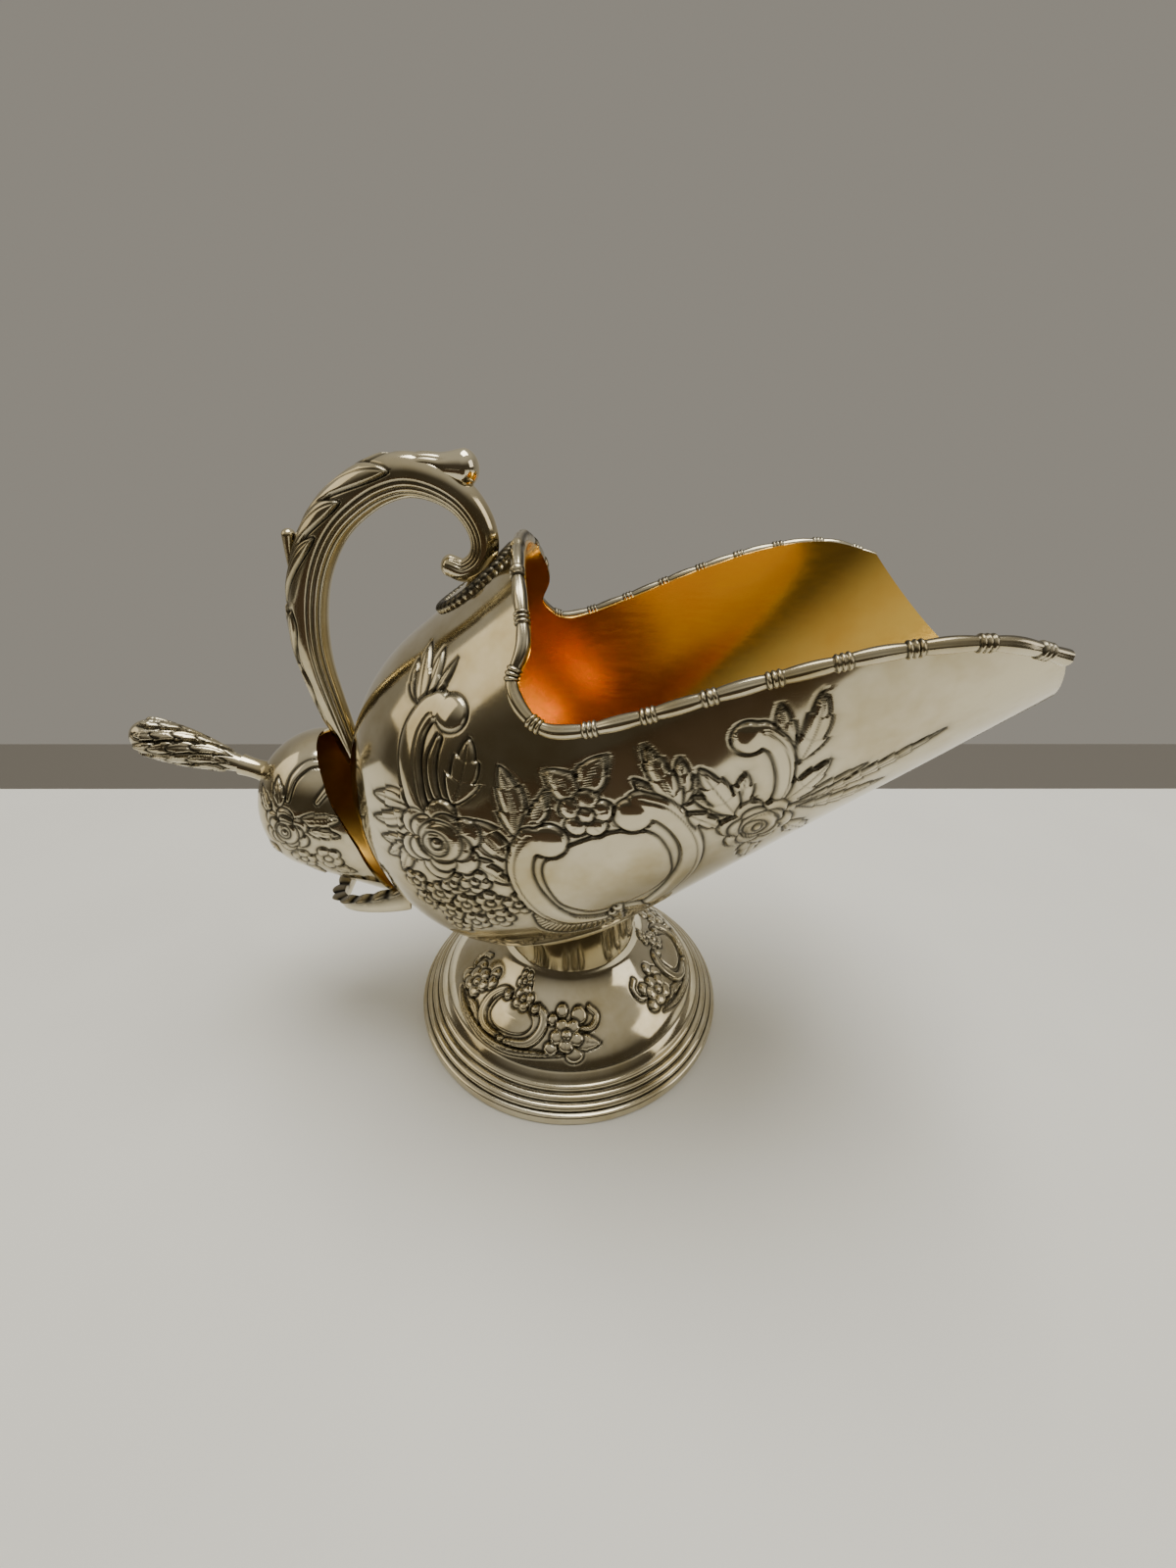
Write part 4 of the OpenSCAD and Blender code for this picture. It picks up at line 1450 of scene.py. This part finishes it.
    def build(self, silver: Material) -> list[Object]:
        """Makes the ring, the dome and the collar."""
        return [self._base(silver), self._dome(silver), self._collar(silver)]


@dataclass
class Bracket:
    """The band behind the bowl that holds the scoop, with a leafy upper edge."""

    half_width: float = 13.2
    reach: float = 56.2
    root: float = 36.2
    band: float = 1.5
    leaf_pitch: float = 4.4

    def build(self, silver: Material) -> Object:
        """Makes the band.

        Args:
            silver: the silver plate.

        Returns:
            The band.
        """
        u = np.linspace(-1, 1, 361)
        q = np.radians(90 * (1 - np.abs(u)))
        x = -(self.root + (self.reach - self.root) * np.sin(q) ** 0.9)
        y = np.sign(u) * self.half_width * np.clip(np.cos(q), 0, 1) ** 0.75
        plan = np.stack([x, y], -1)
        step = np.linalg.norm(np.diff(plan, axis=0), axis=1)
        run = np.append(0, np.cumsum(step))
        ahead = unit(np.gradient(plan, axis=0))
        for _ in range(6):
            ahead[1:-1] = unit(ahead[:-2] + ahead[1:-1] + ahead[2:])
        out = np.stack([ahead[:, 1], -ahead[:, 0]], -1)
        middle = 43.6 - 9.6 * (1 - np.abs(u)) ** 0.8
        half = 2 + 2 * np.abs(u) ** 3
        beat = np.abs(np.sin(np.pi * run / self.leaf_pitch))
        side = 44
        turn = np.linspace(0, 2 * np.pi, side, endpoint=False)
        # a rounded bar: thin across, tall in height
        thin = np.sign(np.cos(turn)) * np.abs(np.cos(turn)) ** 0.5
        tall = np.sign(np.sin(turn)) * np.abs(np.sin(turn)) ** 0.35
        crown = rising((tall - 0.1) / 0.7)
        outer = rising(-np.cos(turn) * 2)
        depth = self.band / 2 * (0.72 + 0.28 * crown * (0.4 + 0.6 * beat[:, None])
                                 + 2.6 * crown * outer * (0.6 + 0.4 * beat[:, None]))
        height = half[:, None] * tall - 0.45 * np.clip(tall, 0, 1) ** 4 * (
            1 - beat[:, None])
        groove = bell(tall - 0.12, 0.14)
        depth = depth - 0.12 * groove
        xy = plan[:, None] + out[:, None] * (depth * thin)[..., None]
        rings = np.concatenate([xy, (middle[:, None] + height)[..., None]], -1)
        dark = np.clip(0.8 * groove + crown * (1 - beat[:, None]) ** 2
                       + 0.55 * crown, 0, 1)
        parts = MeshParts()
        first = parts.add(rings, dark)
        parts.grid(first, len(u), side, around=True)
        parts.fan(parts.add(rings[0].mean(0)), first, side, flip=True)
        parts.fan(parts.add(rings[-1].mean(0)), first + (len(u) - 1) * side, side)
        return place_piece(parts.make("scoop_bracket_band", silver), Body.SCUTTLE,
                           Slot.SILVER, "scoop_bracket")


@dataclass
class Scoop:
    """The small scoop: a hooded bowl, gilt inside, on a leaf-wound grip."""

    tilt: float = 21.0
    back: Point = (-68.8, 67.4)
    half_width: float = 14.4
    rise: float = 16.0
    drop: float = 18.2
    dome_length: float = 14.0
    axis_drop: float = 0.85
    rim: tuple[float, ...] = (9.8, 10.5, 12.2, 14.8, 17.8, 21.8, 25.6, 28.8, 32.1,
                              34.8, 36.5, 37.5, 37.8)
    grip_length: float = 28.4
    grip_radius: float = 4.7
    grip_neck: float = 2.1

    def skin(self, s: Array, phi: Array, grow: float = 0.0) -> Array:
        """Points of the scoop's skin, s from its back, phi from its hood.

        Args:
            s: how far along the axis.
            phi: the angle round it, 0 at the top.
            grow: how far the skin is moved out.

        Returns:
            The points.
        """
        tilt = math.radians(self.tilt)
        s, phi = np.broadcast_arrays(np.asarray(s, float), np.asarray(phi, float))
        q = s - self.dome_length
        g = np.where(q < 0, np.sqrt(np.clip(
            1 - (q / (self.dome_length + grow)) ** 2, 0, 1)), 1.0)
        half = np.where(np.cos(phi) > 0, self.rise, self.drop) + grow
        h = half * g * np.cos(phi) - self.axis_drop
        x = self.back[0] + s * math.cos(tilt) + h * math.sin(tilt)
        z = self.back[1] - s * math.sin(tilt) + h * math.cos(tilt)
        return np.stack([x, -(self.half_width + grow) * g * np.sin(phi), z], -1)

    def _chasing(self, a: Array, b: Array) -> Relief:
        """Ornament of one side of the scoop's bowl.

        Args:
            a: each corner's place along the sheet.
            b: each corner's place across it.

        Returns:
            The relief.
        """
        r = Relief(a, b, line=0.2, cut=0.18, depth=0.75)
        r.scroll([(9.6, -5.6), (9.4, -10.6), (11.4, -15.0), (14.6, -16.0),
                  (16.6, -12.6), (15.4, -7.6)], (0.5, 0.8, 1.0, 1.0, 0.8, 0.5), 0.35)
        r.leaf((16.6, -12.0), (21.4, -15.6), 1.6, 0.4, 3, 0.3)
        r.leaf((13.0, -2.6), (20.8, -5.6), 1.9, 0.45, 3, 0.3, 0.05)
        r.leaf((15.0, -0.6), (21.6, -1.8), 1.5, 0.45, 3, 0.3)
        r.leaf((8.4, -3.4), (6.0, -8.6), 1.7, 0.45, 3, 0.3)
        r.leaf((6.6, -0.4), (2.6, -3.6), 1.7, 0.45, 3, 0.3)
        r.leaf((20.0, 8.0), (26.6, 7.0), 1.9, 0.45, 3, 0.3)
        r.leaf((16.0, 10.2), (19.8, 15.4), 1.9, 0.45, 3, 0.3)
        r.leaf((8.6, 7.6), (6.8, 13.6), 1.9, 0.45, 3, 0.3)
        r.flower((20.4, 5.0), 3.2, 5, 10, 0.55, 0.3)
        r.flower((15.4, 7.8), 2.9, 5, 40, 0.55, 0.3)
        r.rose((10.8, 1.4), 5.2, 15, 0.7)
        return r

    def _bowl(self, silver: Material, gilt: Material) -> list[Object]:
        """The scoop's bowl and its gilding.

        Args:
            silver: the silver plate.
            gilt: the gold wash.

        Returns:
            The sheet and the gilding.
        """
        phi = np.linspace(0, np.pi, 171)
        reach = spline(self.rim, phi / np.pi, self.rim[1], self.rim[-2])
        mirror = np.array([1.0, -1.0, 1.0])

        def side(grow: float, columns: int) -> tuple[Array, Array, Array, Array]:
            """Half a side's corners with their s, the whole side and its pole.

            Args:
                grow: how far it lies outside the skin.
                columns: corners from pole to edge.

            Returns:
                Half a side, its places along the axis, the whole side and its pole.
            """
            v = np.linspace(0, 1, columns + 1)[1:]
            v = v * v * (2 - v) if columns < 100 else 0.55 * v * v * (2 - v) + 0.45 * v ** 1.6
            s = -grow + (reach[:, None] + grow) * v
            half = self.skin(s, phi[:, None], grow)
            return half, s, np.concatenate([half, half[-2:0:-1] * mirror]), self.skin(
                -grow, 0.0, grow)

        half, s, _, pole = side(0.0, 130)
        q = phi[:, None]
        g = np.where(s < 14, np.sqrt(np.clip(1 - ((s - 14) / 14) ** 2, 0, 1)), 1)
        relief = self._chasing(s.ravel(), ((q - np.pi / 2) * 16.2 * g).ravel())
        out = unit(self.skin(s, q, 0.4) - half)
        raised = half + out * relief.height.reshape(s.shape)[..., None]
        dark = relief.ink.reshape(s.shape)
        whole = np.concatenate([raised, raised[-2:0:-1] * mirror])
        dark = np.concatenate([dark, dark[-2:0:-1]])
        _, _, low, low_pole = side(-0.45, 24)
        sheet = closed_sheet(whole, pole, low, low_pole, dark).make("scoop_sheet", silver)
        _, _, back, back_pole = side(-0.47, 24)
        _, _, face, face_pole = side(-0.9, 60)
        # the whole inside face of the scoop's gilding is painted 0.6 dark with the gold
        # wash's brown: painted shade inside the scoop
        lining = closed_sheet(back, back_pole, face, face_pole, dull=0.6).make(
            "scoop_gilding", gilt)
        return [place_piece(sheet, Body.SCOOP, Slot.SILVER, "scoop_bowl"),
                place_piece(lining, Body.SCOOP, Slot.GILT, "scoop_bowl")]

    def _grip(self, silver: Material) -> Object:
        """The club-shaped grip, wound with leaves above a plain neck.

        Args:
            silver: the silver plate.

        Returns:
            The grip.
        """
        rows, around = 200, 144
        u = np.linspace(0, 1, rows)
        u = np.where(u > 0.86, 0.86 + 0.14 * np.sin((u - 0.86) / 0.14 * np.pi / 2), u)
        body = (self.grip_neck + (self.grip_radius - self.grip_neck) * np.sin(
            np.radians(np.minimum(90, 118 * u))) ** 2.2 * (1 - 0.08 * u)
            + 0.9 * np.exp(-30 * u))
        end = self.grip_radius * 0.92 * dome((u - 0.86) / 0.14)
        radius = np.where(u > 0.86, end, body)
        height = u * self.grip_length - 0.6 * (1 - u)
        turn = np.linspace(0, 2 * np.pi, around, endpoint=False)
        a = np.broadcast_to(height[:, None], (rows, around))
        # the leaves wind round the grip, four of them side by side
        wind = np.mod(turn / (np.pi / 2) + height[:, None] / 16.0, 1) - 0.5
        b = wind * np.pi / 2 * 4.2
        r = Relief(a.ravel(), b.ravel(), line=0.2, cut=0.2)
        for base in (21.0, 17.4, 13.8, 9.6):
            for across in (-2.2, 1.2):
                r.leaf((base - 2.4, across), (base + 5.2, across + 1.4), 1.9, 0.6, 3,
                       0.25, 0.08, 1.2)
        lift = r.height.reshape(a.shape) * rising((0.985 - u) / 0.04)[:, None]
        dark = r.ink.reshape(a.shape)
        ring = np.maximum(radius[:, None] + np.minimum(lift, 0.55) - 0.6, 0.05)
        ring = np.where(u[:, None] < 0.2, np.maximum(ring, radius[:, None] - 0.05), ring)
        tilt = math.radians(-90 + self.tilt - 1.5)
        x, y = ring * np.cos(turn), ring * np.sin(turn)
        z = np.broadcast_to(height[:, None], x.shape)
        points = np.stack([
            self.back[0] + x * math.cos(tilt) + z * math.sin(tilt), y,
            self.back[1] - x * math.sin(tilt) + z * math.cos(tilt)], -1)
        parts = MeshParts()
        first = parts.add(points, dark)
        parts.grid(first, rows, around, around=True)
        parts.fan(parts.add(points[0].mean(0)), first, around, flip=True)
        parts.fan(parts.add(points[-1].mean(0)), first + (rows - 1) * around, around)
        return place_piece(parts.make("scoop_grip", silver), Body.SCOOP, Slot.SILVER,
                           "scoop_handle")

    def build(self, silver: Material, gilt: Material) -> list[Object]:
        """Makes the scoop's bowl, gilding and grip."""
        return self._bowl(silver, gilt) + [self._grip(silver)]


# ---------------------------------------------------------------- studio
@dataclass(frozen=True)
class Lamp:
    """A soft square light aimed at the piece."""

    name: str
    place: tuple[float, float, float]
    size: float
    power: float
    colour: str = "#FFFFFF"

    def build(self) -> Object:
        """Makes the light.

        Returns:
            The light.
        """
        data = bpy.data.lights.new(self.name, "AREA")
        data.shape, data.size, data.energy = "SQUARE", self.size, self.power
        data.color = linear(self.colour)[:3]
        lamp = bpy.data.objects.new(self.name, data)
        lamp.location = self.place
        back = unit(np.array(self.place) - np.array([0, 0, 0.06]))
        side = unit(np.cross([0.0, 0.0, 1.0], back))
        up = np.cross(back, side)
        lamp.rotation_mode = "QUATERNION"
        lamp.rotation_quaternion = matrix_of(side, up, back).to_quaternion()
        bpy.context.scene.collection.objects.link(lamp)
        return lamp


def matrix_of(side: Array, up: Array, back: Array) -> Matrix:
    """A rotation whose columns are these three directions."""
    return Matrix([[side[i], up[i], back[i]] for i in range(3)])


@dataclass
class Studio:
    """A pale table before a greige wall, in soft light.

    Attributes:
        table_back: how far back the table reaches, in metres.
        ledge_back: how far back the lower ledge behind it reaches, in metres.
        card: how far in front of the middle the brown card starts, in metres.
        card_right: where the card's right edge starts, in metres.
        card_height: the card's height over the table, in millimetres.
        azimuth: the camera's turn from the front, in degrees.
        elevation: its height over the horizon, in degrees.
        roll: how far it is rolled, in degrees.
        lens: its focal length, in millimetres, for a sensor 36 mm wide.
        stand: its place, in millimetres.
        lamps: the soft lights.
    """

    table_back: float = 0.104
    ledge_back: float = 0.148
    card: float = 0.185
    card_right: float = 0.05
    card_height: float = 3.0
    azimuth: float = -0.16
    elevation: float = 31.49
    roll: float = 1.59
    lens: float = 13.95
    stand: tuple[float, float, float] = (3.24, -116.8, 137.84)
    lamps: tuple[Lamp, ...] = (
        Lamp("window_light", (-1.15, -0.15, 0.75), 0.9, 2.6, "#FFF0D0"),
        Lamp("ceiling_light", (0.1, 0.15, 1.2), 0.7, 13.0, "#FFFDF8"),
        Lamp("side_light", (1.2, -0.2, 0.6), 0.7, 3.0, "#FFF8EC"),
    )

    def _table(self) -> Object:
        """The table top, and the darker ledge between it and the wall.

        Returns:
            The table.
        """
        x = np.linspace(-1, 1, 41)
        parts = MeshParts()
        edges = []
        # near edge, the table's far edge and the ledge's, in millimetres; the
        # two far ones run a little askew
        for y, lean, z in ((-900, 0, 0), (self.table_back * 1000, 0.05, 0),
                           (self.table_back * 1000 + 0.5, 0.05, -1.5),
                           (self.ledge_back * 1000, 0.057, -1.5)):
            edges.append(np.stack([900 * x, y + lean * 900 * x, np.full(len(x), z)], -1))
        rows = spline(np.array(edges[:2]).reshape(2, -1), np.linspace(0, 1, 24))
        first = parts.add(rows.reshape(24, -1, 3))
        parts.grid(first, 24, len(x))
        ledge = parts.add(np.array(edges[1:]), np.ones((3, len(x))))
        parts.grid(ledge, 3, len(x))
        # matt painted board: an even off-white with the faintest mottle
        material, tree, output = fresh_material("painted_board_matt")
        place = add_node(tree, "ShaderNodeTexCoord").outputs["Object"]
        mottle = add_node(tree, "ShaderNodeTexNoise", {}, {
            "Vector": place, "Scale": per_metre(60), "Detail": 3.0}).outputs[0]
        colour = add_node(tree, "ShaderNodeMix", {"data_type": "RGBA"}, {
            "Factor": mottle, 6: linear("#E6E6E0"), 7: linear("#DCDBD5")}).outputs[2]
        lower = add_node(tree, "ShaderNodeAttribute",
                         {"attribute_name": DARKENING}).outputs["Fac"]
        painted = add_node(tree, "ShaderNodeMix", {"data_type": "RGBA"}, {
            "Factor": lower, 6: colour, 7: linear("#5B5750")}).outputs[2]
        shader = add_node(tree, "ShaderNodeBsdfPrincipled", {}, {
            "Base Color": painted, "Roughness": 0.55})
        tree.links.new(shader.outputs[0], output.inputs["Surface"])
        table = parts.make("table_top", material)
        return table

    def _card(self) -> None:
        """A brown card before the table that only the metal's reflections show."""
        x, y = np.meshgrid(np.linspace(-900, 0, 7), np.linspace(-900, -1000 * self.card, 7))
        # its right edge runs askew, away from the lip
        x = x + 1000 * self.card_right - 0.5 * (y + 1000 * self.card)
        parts = MeshParts()
        first = parts.add(np.stack([x, y, np.full(x.shape, self.card_height)], -1))
        parts.grid(first, 7, 7)
        material, tree, output = fresh_material("brown_card_matt")
        shader = add_node(tree, "ShaderNodeBsdfDiffuse", {}, {"Color": linear("#4A3F35")})
        tree.links.new(shader.outputs[0], output.inputs["Surface"])
        card = parts.make("reflection_card", material)
        card.visible_camera = card.visible_diffuse = card.visible_shadow = False

    def _room(self) -> None:
        """The room: a greige wall to look at, and a dark room behind the camera."""
        world = bpy.data.worlds.new("room")
        bpy.context.scene.world = world
        world.use_nodes = True
        tree = world.node_tree
        tree.nodes.clear()
        output = add_node(tree, "ShaderNodeOutputWorld")
        way = add_node(tree, "ShaderNodeTexCoord").outputs["Generated"]
        split = add_node(tree, "ShaderNodeSeparateXYZ", {}, {0: way})
        # dark behind the camera, and the pale wall beyond the table
        across = add_node(tree, "ShaderNodeMath", {"operation": "MULTIPLY_ADD"}, {
            0: split.outputs[1], 1: 0.5, 2: 0.5}).outputs[0]
        shade = add_node(tree, "ShaderNodeValToRGB", {}, {0: across})
        ramp = shade.color_ramp
        ramp.elements[0].position, ramp.elements[0].color = 0.0, linear("#4A443A")
        ramp.elements[1].position, ramp.elements[1].color = 1.0, linear("#A7A298")
        for spot, code in ((0.25, "#4C463C"), (0.5, "#524C42"), (0.62, "#8E897F")):
            stop = ramp.elements.new(spot)
            stop.color = linear(code)
        over = add_node(tree, "ShaderNodeMapRange", {"interpolation_type": "SMOOTHSTEP"}, {
            "Value": split.outputs[2], "From Min": 0.25, "From Max": 0.85}).outputs[0]
        walls = add_node(tree, "ShaderNodeMix", {"data_type": "RGBA"}, {
            "Factor": over, 6: shade.outputs[0], 7: linear("#C4BFB3")}).outputs[2]
        seen = add_node(tree, "ShaderNodeLightPath").outputs["Is Camera Ray"]
        colour = add_node(tree, "ShaderNodeMix", {"data_type": "RGBA"}, {
            "Factor": seen, 6: walls, 7: linear("#8F8A80")}).outputs[2]
        light = add_node(tree, "ShaderNodeBackground", {}, {"Color": colour,
                                                            "Strength": 1.0})
        tree.links.new(light.outputs[0], output.inputs["Surface"])

    def _camera(self) -> None:
        """The camera: close, above, level with the handle."""
        azimuth, height, roll = (math.radians(v) for v in (
            self.azimuth, self.elevation, self.roll))
        back = np.array([math.sin(azimuth) * math.cos(height),
                         -math.cos(azimuth) * math.cos(height), math.sin(height)])
        right = np.array([math.cos(azimuth), math.sin(azimuth), 0.0])
        up = np.cross(back, right)
        side = math.cos(roll) * right + math.sin(roll) * up
        top = -math.sin(roll) * right + math.cos(roll) * up
        data = bpy.data.cameras.new("camera")
        data.lens, data.sensor_width = self.lens, 36.0
        data.clip_start = 0.005
        camera = bpy.data.objects.new("camera", data)
        camera.rotation_mode = "QUATERNION"
        camera.rotation_quaternion = matrix_of(side, top, back).to_quaternion()
        camera.location = tuple(v * MM for v in self.stand)
        bpy.context.scene.collection.objects.link(camera)
        bpy.context.scene.camera = camera

    def build(self) -> None:
        """Sets up table, room, lights and camera."""
        self._table()
        self._card()
        self._room()
        for lamp in self.lamps:
            lamp.build()
        self._camera()


def main() -> None:
    """Builds the piece and the studio around it."""
    logging.basicConfig(level=logging.INFO, format="%(message)s")
    silver, gilt = SILVER_PLATE.make(), GOLD_WASH.make()
    form = BowlForm()
    Studio().build()
    Bowl(form).build(silver, gilt)
    RimWire(form).build(silver)
    Handle().build(silver)
    HandlePlate(form).build(silver)
    Foot(form).build(silver)
    Bracket().build(silver)
    Scoop().build(silver, gilt)


if __name__ == "__main__":
    main()
